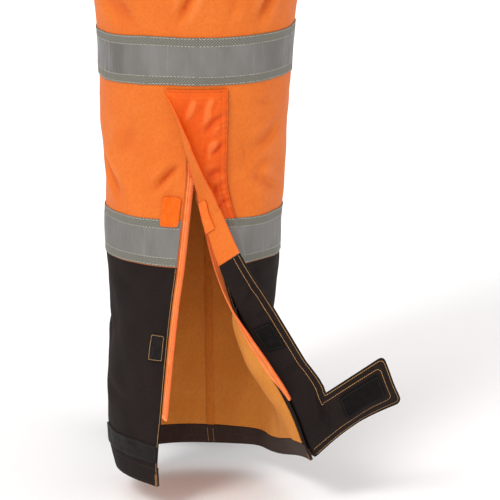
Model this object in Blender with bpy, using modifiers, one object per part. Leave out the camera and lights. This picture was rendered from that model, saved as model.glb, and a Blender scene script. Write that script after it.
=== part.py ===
# High-visibility bib overalls, filled out with nobody in them.
# The wearer faces -Y and their right leg is at -X. Its side zip is open: the front of the leg stands
# away like a door and the storm flap over the zip is turned over. The origin is between the braces
# where they lie on the shoulders, so the whole garment hangs below it.
import math

import bpy
import bmesh
from mathutils import Matrix, Vector

# Sizes below are in millimetres, and heights are measured up from the hem.
MM = 0.001

SHOULDER_HEIGHT = 1450.0
WAIST_HEIGHT = 1040.0
LOWER_PANEL_TOP = 234.0
TAPE_WIDTH = 50.0
UPPER_TAPE_BOTTOM = 426.0

CLOTH = 1.5           # wall of the outer cloth
LINING = 1.0
TAPE = 0.6            # reflective tape
PATCH = 1.2           # touch fastener
SEAM_GAP = 0.3        # between neighbours at a seam
LAYER_GAP = 0.35      # between a panel and what is sewn on it

ZIP_TOP = 400.0       # the zip is sewn in up to here
ZIP_APEX = 322.0      # and stands open below here
ZIP_END = 72.0        # its tapes stop this high above the hem
ZIP_EDGE = 7.0        # from the zip's middle to the edge of each panel
ZIP_TAPE_REACH = 12.0

FLAP_SEAM = 33.0      # from the zip's middle forward to the flap's seam
FLAP_WIDTH = 62.0
FLAP_TOP = 424.0
FLAP_GAP = 1.75       # between the panel and the flap along its seam
FLAP_RAMP = 13.0      # it has risen to its full stand this far from the seam
FLAP_STAND = 4.5      # the open leg's flap clears the zip by this
CLOSED_STAND = 3.2    # and the closed leg's by this
FLAP_ROLL = 6.0       # radius of its turned-over roll
FLAP_COLUMNS = 6
TAB_REACH = 72.0
TAB_HEIGHT = 54.0

TAB_STAND = 3.9       # the closed leg's tab above the panel it wraps round

HEM_FACING = 20.0
LINING_TOP = 345.0
FACING_GAP = 0.8      # between the hem facing and the lining above it
LOOP_STRIP = (25.0, 44.0)     # lowest and highest edge of the strip that the hem tab fastens on
LOOP_STRIP_FROM = 95.0        # from the closed zip to that strip
LOOP_STRIP_LAST = 8           # the station it ends at

# Touch fastener patches: on the back panel their distances run from the zip, on the flap from its
# seam. They lie on the panel and under the flap.
BACK_PATCHES = (
    # name, finish, low, high, near, far, lift
    ("loop_patch_orange", "fastener_orange", 277.0, 308.0, 9.5, 28.5, 2.8),
    ("loop_patch_dark", "fastener_dark", 134.0, 161.0, 9.5, 22.5, 2.0),
)
FLAP_PATCHES = (
    # name, finish, low, high, near, far, lift
    ("hook_patch_orange", "fastener_orange", 268.0, 300.0, 44.0, 57.0, -1.9),
    ("hook_patch_dark", "fastener_dark", 127.0, 155.0, 33.0, 56.0, -1.55),
    ("hook_patch_tab", "fastener_dark", 14.0, 38.0, 82.0, 122.0, -1.55),
)
SLIDER = (2.6, 9.0, 12.0)
SLIDER_HEIGHT = 330.0
SLIDER_LIFT = 1.5

# Rings round a leg, and above the fork round half of the body. out: from the middle plane to the
# ring's middle. back: how far that middle lies behind the shoulders. side, front: half widths.
RINGS = (
    # height, out, back, side, front
    (0.0, 112.0, 8.0, 69.0, 76.0),
    (30.0, 112.0, 10.0, 70.0, 82.0),
    (166.0, 113.0, 7.0, 75.5, 84.0),
    (259.0, 115.0, 5.0, 82.0, 88.5),
    (451.0, 117.0, 0.0, 96.0, 99.5),
    (640.0, 119.0, 0.0, 106.0, 113.0),
    (770.0, 120.0, 0.0, 114.0, 125.0),
    (790.0, 120.0, 0.0, 118.2, 127.0),
    (800.0, 117.0, 0.0, 124.0, 129.0),
    (820.0, 105.0, 0.0, 138.0, 133.0),
    (850.0, 82.0, 0.0, 160.0, 140.0),
    (900.0, 40.0, 0.0, 198.0, 147.0),
    (950.0, 10.0, 0.0, 227.0, 150.0),
    (990.0, 0.0, 0.0, 235.0, 150.0),
    (1040.0, 0.0, 0.0, 225.0, 142.0),
    (1150.0, 0.0, 0.0, 208.0, 130.0),
    (1300.0, 0.0, 0.0, 192.0, 118.0),
)

# How far each side of the open zip has moved off the ring's middle, how far the front has risen, and
# the way its zip edge points, in degrees from straight forward towards the side.
ZIP_SPREAD = (
    # height, front, back, rise, points
    (0.0, 130.0, 27.0, 24.0, 72.0),
    (45.0, 117.0, 24.0, 27.0, 62.0),
    (76.0, 105.0, 21.0, 26.0, 52.0),
    (112.0, 86.0, 18.5, 20.0, 46.0),
    (154.0, 62.0, 15.5, 13.0, 60.0),
    (193.0, 42.0, 12.0, 7.0, 98.0),
    (235.0, 25.0, 7.0, 3.5, 145.0),
    (282.0, 12.0, 3.0, 1.5, 170.0),
    (322.0, 0.0, 0.0, 0.0, 180.0),
)

# The open flap lies on the leg from its seam up to the crest, then rolls over. faces: the way its
# turned part points, in degrees from straight forward towards the side. rise: how far it tips up.
FLAP_TURN = (
    # height, crest, faces, rise
    (0.0, 22.0, 0.0, 3.0),
    (54.0, 24.0, 0.0, 3.0),
    (120.0, 26.0, 5.0, 0.0),
    (190.0, 28.0, 8.0, 0.0),
    (225.0, 30.0, 20.0, 0.0),
    (250.0, 32.0, 32.0, 0.0),
    (284.0, 31.0, 42.0, 0.0),
    (322.0, 30.0, 52.0, 0.0),
    (355.0, 37.0, 62.0, 0.0),
    (385.0, 45.0, 75.0, 0.0),
    (412.0, 60.0, 90.0, 0.0),
    (424.0, 62.0, 90.0, 0.0),
)

# Half widths of the bib as angles round the body from its front or back middle.
BIB_EDGE = (
    # height, front, back
    (1040.0, 89.9, 89.9),
    (1065.0, 82.0, 82.0),
    (1095.0, 65.0, 67.0),
    (1140.0, 52.0, 50.0),
    (1200.0, 45.0, 37.0),
    (1255.0, 42.0, 30.0),
    (1290.0, 41.0, 29.0),
)
BIB_FRONT_TOP = 1290.0
BIB_BACK_TOP = 1255.0

BIB_ROWS = (1040.3, 1065.0, 1095.0, 1140.0, 1200.0, 1250.0)
BIB_COLUMNS = 10

STRAP_WIDTH = 40.0
STRAP = 2.0
STRAP_END_ROWS = (1240.0, 1265.0, 1297.7)
BUCKLE = (46.0, 8.0, 48.0)
BUCKLE_BOTTOM = 1298.0
BUCKLE_FORWARD = 109.5
# The braces from the back of the bib over the shoulders to the buckles.
STRAP_PATH = (
    # aside, back, height
    (58.0, 125.0, 1222.0),
    (60.0, 122.5, 1262.0),
    (68.0, 118.0, 1325.0),
    (78.0, 98.0, 1392.0),
    (85.0, 54.0, 1439.0),
    (88.0, 0.0, 1450.0),
    (90.0, -54.0, 1438.0),
    (92.0, -94.0, 1398.0),
    (94.0, -109.0, 1347.0),
)

OPEN_ROWS = (0, 25, 54, 75, 100, 130, 160, 190, 212, 234, 258, 284, 303, 322, 345, 370, 390, 412, 424)
CLOSED_ROWS = (0, 54, 115, 175, 234, 284, 345, 424)
THIGH_ROWS = (426, 476, 600, 720, 775, 797, 820, 850, 900, 1040)
HINGE_AT = 44.0       # the opened front bends here, in degrees round the ring from the inner seam
HINGE_SPAN = 24.0
HINGE_LEADS = 6.0     # turns before the hinge, at it, and from there to the zip edge
HINGE_TURNS = 54.0
HINGE_BULGE = 16.0
BULGE_SPAN = 100.0
EDGE_FROM = 130.0     # and its zip edge starts to roll outwards here
EDGE_SPAN = 38.0
# Stations across half a leg, as shares of its width from the outer seam.
STATIONS = (0.0, 0.05, 0.11, 0.18, 0.26, 0.36, 0.48, 0.60, 0.73, 0.86, 1.0)
SEAM_STATION = 3      # the first one in front of the flap's seam
RING_STEPS = 96

FINISHES = {
    # name: base colour, roughness
    "orange_cloth": ((0.90, 0.22, 0.03), 0.75),
    "dark_cloth": ((0.030, 0.022, 0.019), 0.8),
    "tape_cloth": ((0.32, 0.31, 0.29), 0.45),
    "lining_cloth": ((0.36, 0.13, 0.03), 0.85),
    "zip_tape": ((0.95, 0.28, 0.07), 0.7),
    "fastener_orange": ((0.92, 0.15, 0.01), 0.95),
    "fastener_dark": ((0.015, 0.013, 0.012), 0.95),
    "webbing": ((0.025, 0.022, 0.020), 0.7),
    "moulded_black": ((0.02, 0.02, 0.02), 0.4),
}


def clear_scene():
    for item in list(bpy.data.objects):
        bpy.data.objects.remove(item)


def make_finishes():
    made = {}
    for name, (colour, roughness) in FINISHES.items():
        material = bpy.data.materials.new(name)
        material.use_nodes = True
        shader = material.node_tree.nodes["Principled BSDF"]
        shader.inputs["Base Color"].default_value = (*colour, 1.0)
        shader.inputs["Roughness"].default_value = roughness
        made[name] = material
    return made


def read_table(table, height):
    # The row of a table at one height, on a smooth curve through its rows.
    height = min(max(height, table[0][0]), table[-1][0])
    k = 0
    while k < len(table) - 2 and height > table[k + 1][0]:
        k += 1
    low, high = table[k], table[k + 1]
    span = high[0] - low[0]
    t = (height - low[0]) / span
    values = []
    for column in range(1, len(low)):
        rise = (high[column] - low[column]) / span
        below = rise if k == 0 else slope(table[k - 1], low, high, column)
        above = rise if k + 2 == len(table) else slope(low, high, table[k + 2], column)
        a = (2 * t ** 3 - 3 * t ** 2 + 1) * low[column] + (3 * t ** 2 - 2 * t ** 3) * high[column]
        b = (t ** 3 - 2 * t ** 2 + t) * span * below + (t ** 3 - t ** 2) * span * above
        values.append(a + b)
    return values


def slope(before, here, after, column):
    # Slope of a curve at its middle row, flat where the values turn round.
    one = (here[column] - before[column]) / (here[0] - before[0])
    two = (after[column] - here[column]) / (after[0] - here[0])
    if one * two <= 0.0:
        return 0.0
    return 2 * one * two / (one + two)


def smooth(x):
    x = min(max(x, 0.0), 1.0)
    return x * x * (3.0 - 2.0 * x)


def closed_line(height):
    # Half a ring from the outer seam to the inner one, as (out, forward, rise) from the middle plane.
    out, back, side, front = read_table(RINGS, height)
    end = math.pi
    if side > out - CLOTH:
        lean = min(out / side, 0.999)
        across = math.hypot(lean / side, math.sqrt(1.0 - lean * lean) / front)
        gap = SEAM_GAP / 2 + CLOTH * (lean / side) / across
        end = math.acos(max(-1.0, -(out - gap) / side))
    line = []
    for step in range(RING_STEPS + 1):
        angle = end * step / RING_STEPS
        line.append((out + side * math.cos(angle), front * math.sin(angle), 0.0))
    return line, back


def open_angle(turn):
    # Which way the cloth of the opened leg runs, by how far round the ring it was.
    turn = math.degrees(turn)
    hinge = smooth((turn - HINGE_AT) / HINGE_SPAN)
    bulge = smooth((turn - HINGE_AT - HINGE_SPAN) / BULGE_SPAN)
    lead = min(turn / HINGE_AT, 1.0)
    return math.radians(HINGE_LEADS * lead + HINGE_TURNS * hinge + HINGE_BULGE * bulge)


def uncurled_line(height, amount, points):
    # The same half ring, kept at its inner seam, straightened by an amount, and rolled at its zip
    # edge to point a given way.
    out, back, side, front = read_table(RINGS, height)
    forward, outward = 0.0, -side
    line = [(out + outward, forward, 0.0)]
    step = math.pi / RING_STEPS
    for k in range(RING_STEPS):
        turn = (k + 0.5) * step
        length = math.hypot(front * math.cos(turn), side * math.sin(turn)) * step
        shut = math.atan2(side * math.sin(turn), front * math.cos(turn))
        share = amount * (turn / math.pi) ** (3.0 * max(1.0 - amount, 0.0))
        way = shut + share * (open_angle(turn) - shut)
        if points is not None:
            rolled_share = smooth((math.degrees(turn) - EDGE_FROM) / EDGE_SPAN)
            way += rolled_share * (math.radians(points) - way)
        forward += length * math.cos(way)
        outward += length * math.sin(way)
        line.append((out + outward, forward, 0.0))
    line.reverse()
    return line, back


def opened_line(height, spread, rise, points):
    # Straightened until its zip edge stands at the given distance, and lifted towards that edge.
    low, high = -0.6, 1.3
    for _ in range(30):
        middle = (low + high) / 2
        line, back = uncurled_line(height, middle, points)
        if line[0][1] < spread:
            low = middle
        else:
            high = middle
    lifted = []
    for k, (outward, forward, _) in enumerate(line):
        share = 1.0 - k / RING_STEPS
        lifted.append((outward, forward, rise * smooth((share - 0.4) / 0.6)))
    return lifted, back


class Sheet:
    # A curved sheet of cloth: a row of stations for each height. A station is a distance along
    # the row, a point and the way out of the garment there.
    def __init__(self, heights, rows):
        self.heights = heights
        self.rows = rows

    def row(self, height):
        # The stations at any height, between those of the rows below and above it.
        k = 0
        while k < len(self.heights) - 2 and height > self.heights[k + 1]:
            k += 1
        t = (height - self.heights[k]) / (self.heights[k + 1] - self.heights[k])
        stations = []
        for low, high in zip(self.rows[k], self.rows[k + 1]):
            distance = low[0] + (high[0] - low[0]) * t
            stations.append((distance, low[1].lerp(high[1], t), low[2].lerp(high[2], t)))
        return stations

    def spot(self, height, distance, lift=0.0):
        row = self.row(height)
        k = 0
        while k < len(row) - 2 and distance > row[k + 1][0]:
            k += 1
        start, stop = row[k], row[k + 1]
        t = (distance - start[0]) / (stop[0] - start[0])
        outward = start[2].lerp(stop[2], t).normalized()
        return start[1].lerp(stop[1], t) + outward * lift, outward

    def columns(self, height):
        return [station[0] for station in self.row(height)]


def with_normals(rows, turn):
    # Adds to each station the way out, square to its row and to its neighbours above and below.
    # turn is 1 where the row runs clockwise round the leg seen from above, and -1 the other way.
    finished = []
    for i, row in enumerate(rows):
        above = rows[min(i + 1, len(rows) - 1)]
        below = rows[max(i - 1, 0)]
        line = []
        for j, (distance, point) in enumerate(row):
            along = bisector(row[max(j - 1, 0)][1], point, row[min(j + 1, len(row) - 1)][1])
            up = bisector(below[j][1], point, above[j][1])
            line.append((distance, point, turn * along.cross(up).normalized()))
        finished.append(line)
    return finished


def bisector(before, here, after):
    # The way a line runs at a bend, half between its two stretches.
    return (here - before).normalized() + (after - here).normalized()


def half_leg(side, face, heights, opened):
    # The sheet of one front or back half of a leg. side is -1 for the wearer's right.
    sign = 1.0 if face == "front" else -1.0
    rows = []
    for height in heights:
        if opened and height < ZIP_APEX:
            front, behind, rise, points = read_table(ZIP_SPREAD, height)
            if face == "front":
                line, back = opened_line(height, front, rise, points)
            else:
                line, back = opened_line(height, behind, 0.0, None)
        else:
            line, back = closed_line(height)
        path = []
        for outward, forward, up in line:
            path.append(Vector((side * outward, back - sign * forward, height + up)))
        lengths = [0.0]
        for k in range(1, len(path)):
            lengths.append(lengths[-1] + (path[k] - path[k - 1]).length)
        edge = ZIP_EDGE if opened and height <= ZIP_TOP else SEAM_GAP / 2
        span = lengths[-1] - SEAM_GAP / 2 - edge
        stations = [0.0] + [edge + span * share for share in STATIONS]
        rows.append([(distance, pick(path, lengths, distance)) for distance in stations])
    return Sheet(list(heights), with_normals(rows, -side * sign))


def pick(path, lengths, distance):
    k = 1
    while k < len(path) - 1 and lengths[k] < distance:
        k += 1
    t = (distance - lengths[k - 1]) / (lengths[k] - lengths[k - 1])
    return path[k - 1].lerp(path[k], t)


def rows_between(heights, low, high):
    return [low] + [height for height in heights if low + 1.0 < height < high - 1.0] + [high]


def to_world(point):
    return Vector((point.x, point.y, point.z - SHOULDER_HEIGHT)) * MM


def make_wall(name, finish, grid, thickness, keep=None):
    # A wall of cloth from a grid of (point, way out), thickened outwards. keep(row, column) says
    # which cells of the grid belong to the piece.
    rows, columns = len(grid) - 1, len(grid[0]) - 1
    shape = bmesh.new()
    bmesh.ops.create_grid(shape, x_segments=columns, y_segments=rows, size=1.0)
    if keep:
        spare = []
        for face in shape.faces:
            centre = face.calc_center_median()
            row = int((centre.y + 1.0) / 2 * rows)
            column = int((centre.x + 1.0) / 2 * columns)
            if not keep(row, column):
                spare.append(face)
        bmesh.ops.delete(shape, geom=spare, context="FACES")
    for vertex in shape.verts:
        row = round((vertex.co.y + 1.0) / 2 * rows)
        column = round((vertex.co.x + 1.0) / 2 * columns)
        vertex.co = to_world(grid[row][column][0])
    shape.faces.ensure_lookup_table()
    shape.normal_update()
    if shape.faces[0].normal.dot(grid[0][0][1]) < 0.0:
        bmesh.ops.reverse_faces(shape, faces=shape.faces)
    mesh = bpy.data.meshes.new(name)
    shape.to_mesh(mesh)
    shape.free()
    made = bpy.data.objects.new(name, mesh)
    made.data.materials.append(finish)
    wall = made.modifiers.new("Wall", "SOLIDIFY")
    wall.thickness = thickness * MM
    wall.offset = 1.0
    wall.use_quality_normals = True
    bpy.data.collections["bib_overalls"].objects.link(made)
    return made


def sheet_grid(sheet, heights, columns, lift):
    # columns is a list of distances, or a function that gives them for a height.
    grid = []
    for height in heights:
        distances = columns(height) if callable(columns) else columns
        grid.append([sheet.spot(height, distance, lift) for distance in distances])
    return grid


def panel(sheet, name, finish, low, high, rows):
    heights = rows_between(rows, low, high)

    def columns(height):
        return sheet.columns(height)[1:]

    return make_wall(name, finish, sheet_grid(sheet, heights, columns, 0.0), CLOTH)


def band(sheet, name, finish, low, high, rows, lift, thickness, first=None, skip=1, last=None):
    # A layer on the panel between two heights. first: where it starts, from the zip. skip and last:
    # the stations that it starts and ends at.
    heights = rows_between(rows, low, high)
    if first is not None:
        while min(sheet.columns(height)[skip] for height in heights) < first + 2.0:
            skip += 1

    def columns(height):
        stations = sheet.columns(height)[skip:last]
        if lift < 0.0:
            stations[-1] -= LAYER_GAP
        return stations if first is None else [first] + stations

    return make_wall(name, finish, sheet_grid(sheet, heights, columns, lift), thickness)


def patch(sheet, name, finish, low, high, near, far, lift):
    # A small layer between two heights and two distances, bent where the sheet under it is bent.
    heights = rows_between(sheet.heights, low, high)
    inner = range(len(sheet.rows[0]))
    for height in heights:
        columns = sheet.columns(height)
        inner = [k for k in inner if near + 0.5 < columns[k] < far - 0.5]

    def columns_at(height):
        columns = sheet.columns(height)
        return [near] + [columns[k] for k in inner] + [far]

    return make_wall(name, finish, sheet_grid(sheet, heights, columns_at, lift), PATCH)


def flap_sheet(front, back, heights, opened):
    # The storm flap: distances run from its seam. It passes over the zip, and on the open leg it
    # rolls over at its crest.
    starts = []
    for height in heights:
        crest, faces, rise = read_table(FLAP_TURN, height) if opened else (FLAP_WIDTH, 0.0, 0.0)
        crest = min(crest, FLAP_WIDTH)
        stations = []
        for k in range(FLAP_COLUMNS + 1):
            distance = crest * k / FLAP_COLUMNS
            stand = FLAP_STAND if opened else CLOSED_STAND
            base = CLOTH + FLAP_GAP
            lift = base + (stand - base) * smooth(distance / FLAP_RAMP)
            if height >= FLAP_TOP:
                lift = base
            from_zip = FLAP_SEAM - distance
            if from_zip >= 0.0 or height < ZIP_APEX and opened:
                point, outward = front.spot(height, max(from_zip, 0.0), lift)
                if from_zip < 0.0:
                    before = front.spot(height, 2.0, lift)[0]
                    point = point + (point - before).normalized() * -from_zip
            else:
                point, outward = back.spot(height, -from_zip, lift)
            stations.append((distance, point, outward))
        starts.append((crest, faces, rise, stations))
    rows = []
    tab_rows = sum(1 for height in heights if height < TAB_HEIGHT + 1.0)
    for i, (crest, faces, rise, stations) in enumerate(starts):
        row = list(stations)
        if opened:
            # The rows of the hem tab all turn over the same line, so that the tab stays flat.
            low, high = (0, tab_rows) if i < tab_rows else (i - 1, min(i + 1, len(starts) - 1))
            line = (starts[high][3][-1][1] - starts[low][3][-1][1]).normalized()
            model = starts[tab_rows // 2] if i < tab_rows else starts[i]
            way = (model[3][-1][1] - model[3][-2][1]).normalized()
            row += rolled(stations[-1][1], way, model[3][-1][2], line, crest, model[1], model[2])
        rows.append(row)
    return Sheet(list(heights), rows)


def rolled(point, way, outward, crest_line, crest, faces, rise):
    # Stations of the part beyond the crest: a roll round the crest line, then straight on.
    axis = crest_line if crest_line.cross(way).dot(outward) > 0.0 else -crest_line
    heading = math.degrees(math.atan2(-way.x, -way.y)) % 360.0
    turn = math.radians(heading - faces)
    left = max(FLAP_WIDTH - crest, 0.4)
    roll = turn * FLAP_ROLL
    if roll > 0.8 * left:
        turn *= 0.8 * left / roll
        roll = 0.8 * left
    made = []
    distance = crest
    steps = 4
    for k in range(steps):
        spin = Matrix.Rotation(turn * (k + 0.5) / steps, 3, axis)
        point = point + (spin @ way) * (roll / steps)
        distance += roll / steps
        made.append((distance, point, Matrix.Rotation(turn * (k + 1) / steps, 3, axis) @ outward))
    spin = Matrix.Rotation(turn, 3, axis)
    facing = spin @ outward
    ahead = Matrix.Rotation(math.radians(-rise), 3, facing) @ (spin @ way)
    rest = FLAP_WIDTH - distance if FLAP_WIDTH > distance else 0.2
    for k in (1, 2):
        made.append((distance + rest * k / 2, point + ahead * (rest * k / 2), facing))
    for k in (1, 2, 3):
        reach = rest + TAB_REACH * k / 3
        made.append((distance + reach, point + ahead * reach, facing))
    return made


def closed_tab(back, heights, rows):
    # Adds the hem tab of a closed flap, which wraps round the back of the leg.
    for height, row in zip(heights, rows):
        for k in (1, 2, 3, 4):
            distance = FLAP_WIDTH + TAB_REACH * k / 4
            point, outward = back.spot(height, distance - FLAP_SEAM, TAB_STAND)
            row.append((distance, point, outward))


def make_flap(sheet, name, finish, low, high, rows, tab_from):
    # One cloth colour of a flap. Columns past tab_from belong to the hem tab.
    heights = rows_between(rows, low, high)
    last = tab_from + 1 if low > TAB_HEIGHT else None
    grid = []
    for height in heights:
        grid.append([(point, outward) for _, point, outward in sheet.row(height)[:last]])
    tab_rows = sum(1 for height in heights if height < TAB_HEIGHT - 1.0)
    keep = None if last else (lambda row, column: column < tab_from or row < tab_rows)
    return make_wall(name, finish, grid, CLOTH, keep)


def body_spot(height, angle, lift, behind=False):
    # A point round the body above the waist, by its angle from the front or back middle.
    _, _, side, front = read_table(RINGS, height)
    sign = 1.0 if behind else -1.0
    point = Vector((side * math.sin(angle), sign * front * math.cos(angle), height))
    outward = Vector((math.sin(angle) / side, sign * math.cos(angle) / front, 0.0)).normalized()
    return point + outward * lift, outward


def bib(name, finish, behind):
    top = BIB_BACK_TOP if behind else BIB_FRONT_TOP
    grid = []
    for height in (*BIB_ROWS, top):
        front, back = read_table(BIB_EDGE, height)
        reach = math.radians(back if behind else front)
        line = []
        for k in range(BIB_COLUMNS + 1):
            line.append(body_spot(height, reach * (2 * k / BIB_COLUMNS - 1), 0.0, behind))
        grid.append(line)
    return make_wall(name, finish, grid, CLOTH)


def strap(name, finish, side):
    path = [Vector((side * aside, back, height)) for aside, back, height in STRAP_PATH]
    centres = []
    for k in range(len(path) - 1):
        before, after = path[max(k - 1, 0)], path[min(k + 2, len(path) - 1)]
        for t in (0.0, 0.5):
            centres.append(curve_point(before, path[k], path[k + 1], after, t))
    centres.append(path[-1])
    across = Vector((1.0, 0.0, 0.0))
    grid = []
    for k, centre in enumerate(centres):
        along = centres[min(k + 1, len(centres) - 1)] - centres[max(k - 1, 0)]
        outward = across.cross(along).normalized()
        if outward.dot(centre - Vector((centre.x, 0.0, BIB_BACK_TOP))) < 0.0:
            outward = -outward
        grid.append([(centre + across * reach, outward) for reach in
                     (-STRAP_WIDTH / 2, 0.0, STRAP_WIDTH / 2)])
    return make_wall(name, finish, grid, STRAP)


def curve_point(before, start, stop, after, t):
    first, last = (stop - before) / 2, (after - start) / 2
    return (start * (2 * t ** 3 - 3 * t ** 2 + 1) + stop * (3 * t ** 2 - 2 * t ** 3)
            + first * (t ** 3 - 2 * t ** 2 + t) + last * (t ** 3 - t ** 2))


def strap_end(name, finish, side):
    # The short webbing that is sewn on the bib and holds the buckle.
    aside = STRAP_PATH[-1][0]
    grid = []
    for height in STRAP_END_ROWS:
        wide = read_table(RINGS, height)[2]
        line = []
        for k in (-2, -1, 0, 1, 2):
            angle = math.asin(side * (aside + STRAP_WIDTH * k / 4) / wide)
            line.append(body_spot(height, angle, CLOTH + LAYER_GAP))
        grid.append(line)
    return make_wall(name, finish, grid, STRAP)


def block(name, finish, size, centre, rounding):
    shape = bmesh.new()
    bmesh.ops.create_cube(shape, size=1.0)
    bmesh.ops.scale(shape, verts=shape.verts, vec=Vector(size) * MM)
    mesh = bpy.data.meshes.new(name)
    shape.to_mesh(mesh)
    shape.free()
    made = bpy.data.objects.new(name, mesh)
    made.data.materials.append(finish)
    made.location = to_world(centre)
    edge = made.modifiers.new("Rounding", "BEVEL")
    edge.width = rounding * MM
    edge.segments = 2
    bpy.data.collections["bib_overalls"].objects.link(made)
    return made


def build_leg(side, word, finishes):
    opened = side < 0
    rows = OPEN_ROWS + THIGH_ROWS if opened else CLOSED_ROWS + THIGH_ROWS
    sheets = {face: half_leg(side, face, rows, opened) for face in ("front", "back")}
    band_lift = CLOTH + LAYER_GAP
    for face, sheet in sheets.items():
        panel(sheet, f"{face}_{word}_upper", finishes["orange_cloth"],
              LOWER_PANEL_TOP + SEAM_GAP / 2, WAIST_HEIGHT - SEAM_GAP / 2, rows)
        panel(sheet, f"{face}_{word}_lower", finishes["dark_cloth"],
              0.0, LOWER_PANEL_TOP - SEAM_GAP / 2, rows)
        band(sheet, f"tape_upper_{face}_{word}", finishes["tape_cloth"], UPPER_TAPE_BOTTOM,
             UPPER_TAPE_BOTTOM + TAPE_WIDTH, rows, band_lift, TAPE)
        first, skip = None, 1
        if face == "front":
            # It stops at the flap's seam: at a station where the opened cloth bends.
            first, skip = (None, SEAM_STATION) if opened else (FLAP_SEAM + 1.0, 1)
        band(sheet, f"tape_lower_{face}_{word}", finishes["tape_cloth"], LOWER_PANEL_TOP + 1.0,
             LOWER_PANEL_TOP + TAPE_WIDTH, rows, band_lift, TAPE, first, skip)

    flap_rows = [height for height in rows if height <= FLAP_TOP]
    flap = flap_sheet(sheets["front"], sheets["back"], flap_rows, opened)
    if not opened:
        closed_tab(sheets["back"], flap_rows, flap.rows)
    tab_from = FLAP_COLUMNS + 6 if opened else FLAP_COLUMNS
    make_flap(flap, f"flap_{word}_lower", finishes["dark_cloth"], 0.0,
              LOWER_PANEL_TOP - SEAM_GAP, rows, tab_from)
    make_flap(flap, f"flap_{word}_upper", finishes["orange_cloth"],
              LOWER_PANEL_TOP + SEAM_GAP, FLAP_TOP, rows, tab_from)
    low, high = LOOP_STRIP
    band(sheets["back"], f"loop_strip_{word}", finishes["fastener_dark"], low, high, rows,
         CLOTH + LAYER_GAP, PATCH, ZIP_EDGE + SEAM_GAP if opened else LOOP_STRIP_FROM,
         last=LOOP_STRIP_LAST)
    return sheets, flap, rows


def build_open_leg_details(sheets, flap, rows, finishes):
    for face, sheet in sheets.items():
        lift = -(LINING + LAYER_GAP)
        band(sheet, f"lining_{face}", finishes["lining_cloth"], HEM_FACING + FACING_GAP, LINING_TOP,
             rows, lift, LINING, ZIP_TAPE_REACH + SEAM_GAP)
        band(sheet, f"hem_facing_{face}", finishes["dark_cloth"], 0.0, HEM_FACING, rows, lift,
             LINING)
        heights = rows_between(rows, ZIP_END, ZIP_TOP - 2.0)
        columns = (SEAM_GAP / 2, ZIP_EDGE / 2, ZIP_EDGE, ZIP_TAPE_REACH)
        make_wall(f"zip_tape_{face}", finishes["zip_tape"],
                  sheet_grid(sheet, heights, columns, lift), LINING)
    for sheet, patches in ((sheets["back"], BACK_PATCHES), (flap, FLAP_PATCHES)):
        for name, finish, low, high, near, far, lift in patches:
            patch(sheet, name, finishes[finish], low, high, near, far, lift)
    point, _ = sheets["front"].spot(SLIDER_HEIGHT, 0.0, SLIDER_LIFT)
    block("zip_slider", finishes["zip_tape"], SLIDER, point, 0.6)


def main():
    clear_scene()
    bpy.context.scene.collection.children.link(bpy.data.collections.new("bib_overalls"))
    finishes = make_finishes()
    for side, word in ((-1.0, "right"), (1.0, "left")):
        sheets, flap, rows = build_leg(side, word, finishes)
        if word == "right":
            build_open_leg_details(sheets, flap, rows, finishes)
        strap(f"strap_{word}", finishes["webbing"], side)
        strap_end(f"strap_end_{word}", finishes["webbing"], side)
        aside = side * STRAP_PATH[-1][0]
        centre = Vector((aside, -BUCKLE_FORWARD, BUCKLE_BOTTOM + BUCKLE[2] / 2))
        block(f"buckle_{word}", finishes["moulded_black"], BUCKLE, centre, 2.0)
    bib("bib_front", finishes["orange_cloth"], False)
    bib("bib_back", finishes["orange_cloth"], True)


main()
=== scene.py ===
# High-visibility bib overalls, filled out with nobody in them: the looks.
import math
from functools import partial

import bmesh
import bpy
import numpy as np
from mathutils import Matrix, Vector


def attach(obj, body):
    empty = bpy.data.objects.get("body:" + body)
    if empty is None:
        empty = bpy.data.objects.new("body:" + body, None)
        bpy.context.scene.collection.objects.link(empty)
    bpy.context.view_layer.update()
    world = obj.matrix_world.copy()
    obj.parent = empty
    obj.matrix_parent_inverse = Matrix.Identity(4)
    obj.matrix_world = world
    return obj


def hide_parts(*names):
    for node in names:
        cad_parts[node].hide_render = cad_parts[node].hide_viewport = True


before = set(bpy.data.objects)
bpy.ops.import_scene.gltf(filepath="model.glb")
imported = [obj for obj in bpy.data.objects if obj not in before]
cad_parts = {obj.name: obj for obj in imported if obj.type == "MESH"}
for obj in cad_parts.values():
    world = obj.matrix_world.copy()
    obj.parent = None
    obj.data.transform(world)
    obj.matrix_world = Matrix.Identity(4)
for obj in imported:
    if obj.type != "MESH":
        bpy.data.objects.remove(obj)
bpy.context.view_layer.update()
print("frame loaded", len(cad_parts), "nodes")

# Sizes are in millimetres and heights are measured up from the hem, as in the model of the parts.
mm = 0.001
garment = {
    "shoulders": 1450.0,
    "waist": 1040.0,
    "darkTop": 234.0,         # top of the dark lower leg
    "lowerTape": (235.0, 284.0),
    "upperTape": (426.0, 476.0),
    "cloth": 1.5,
    "lining": 1.0,
    "tape": 0.6,
    "patch": 1.2,
    "seamGap": 0.3,
    "layerGap": 0.35,
    "seamLap": 0.9,           # the two legs' cloth laps this much at the seams above the fork
}
zipper = {
    "top": 400.0,
    "apex": 322.0,            # it stands open below here
    "end": 72.0,
    "edge": 7.0,              # from its middle to the edge of each panel
    "reach": 12.0,            # half the width of its tapes, closed
    "toothPitch": 1.7,
    "toothSize": (3.4, 1.0, 1.3),
    "toothLift": 0.1,
    "toothRings": ((0.0, 0.55), (0.6, 0.75), (0.86, 1.0), (1.0, 0.7)),    # place along it, size
    "toothOut": (1.0, 1.3),   # how far it stands out of its tape, closed and open
    "toothEnds": (2.0, 4.0),  # from the zip's lower and upper ends
    "stitchRows": (3.6, 5.8),
    "easing": {"span": 45.0, "reach": 9, "from": 5.0, "over": 22.0},
}
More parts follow.
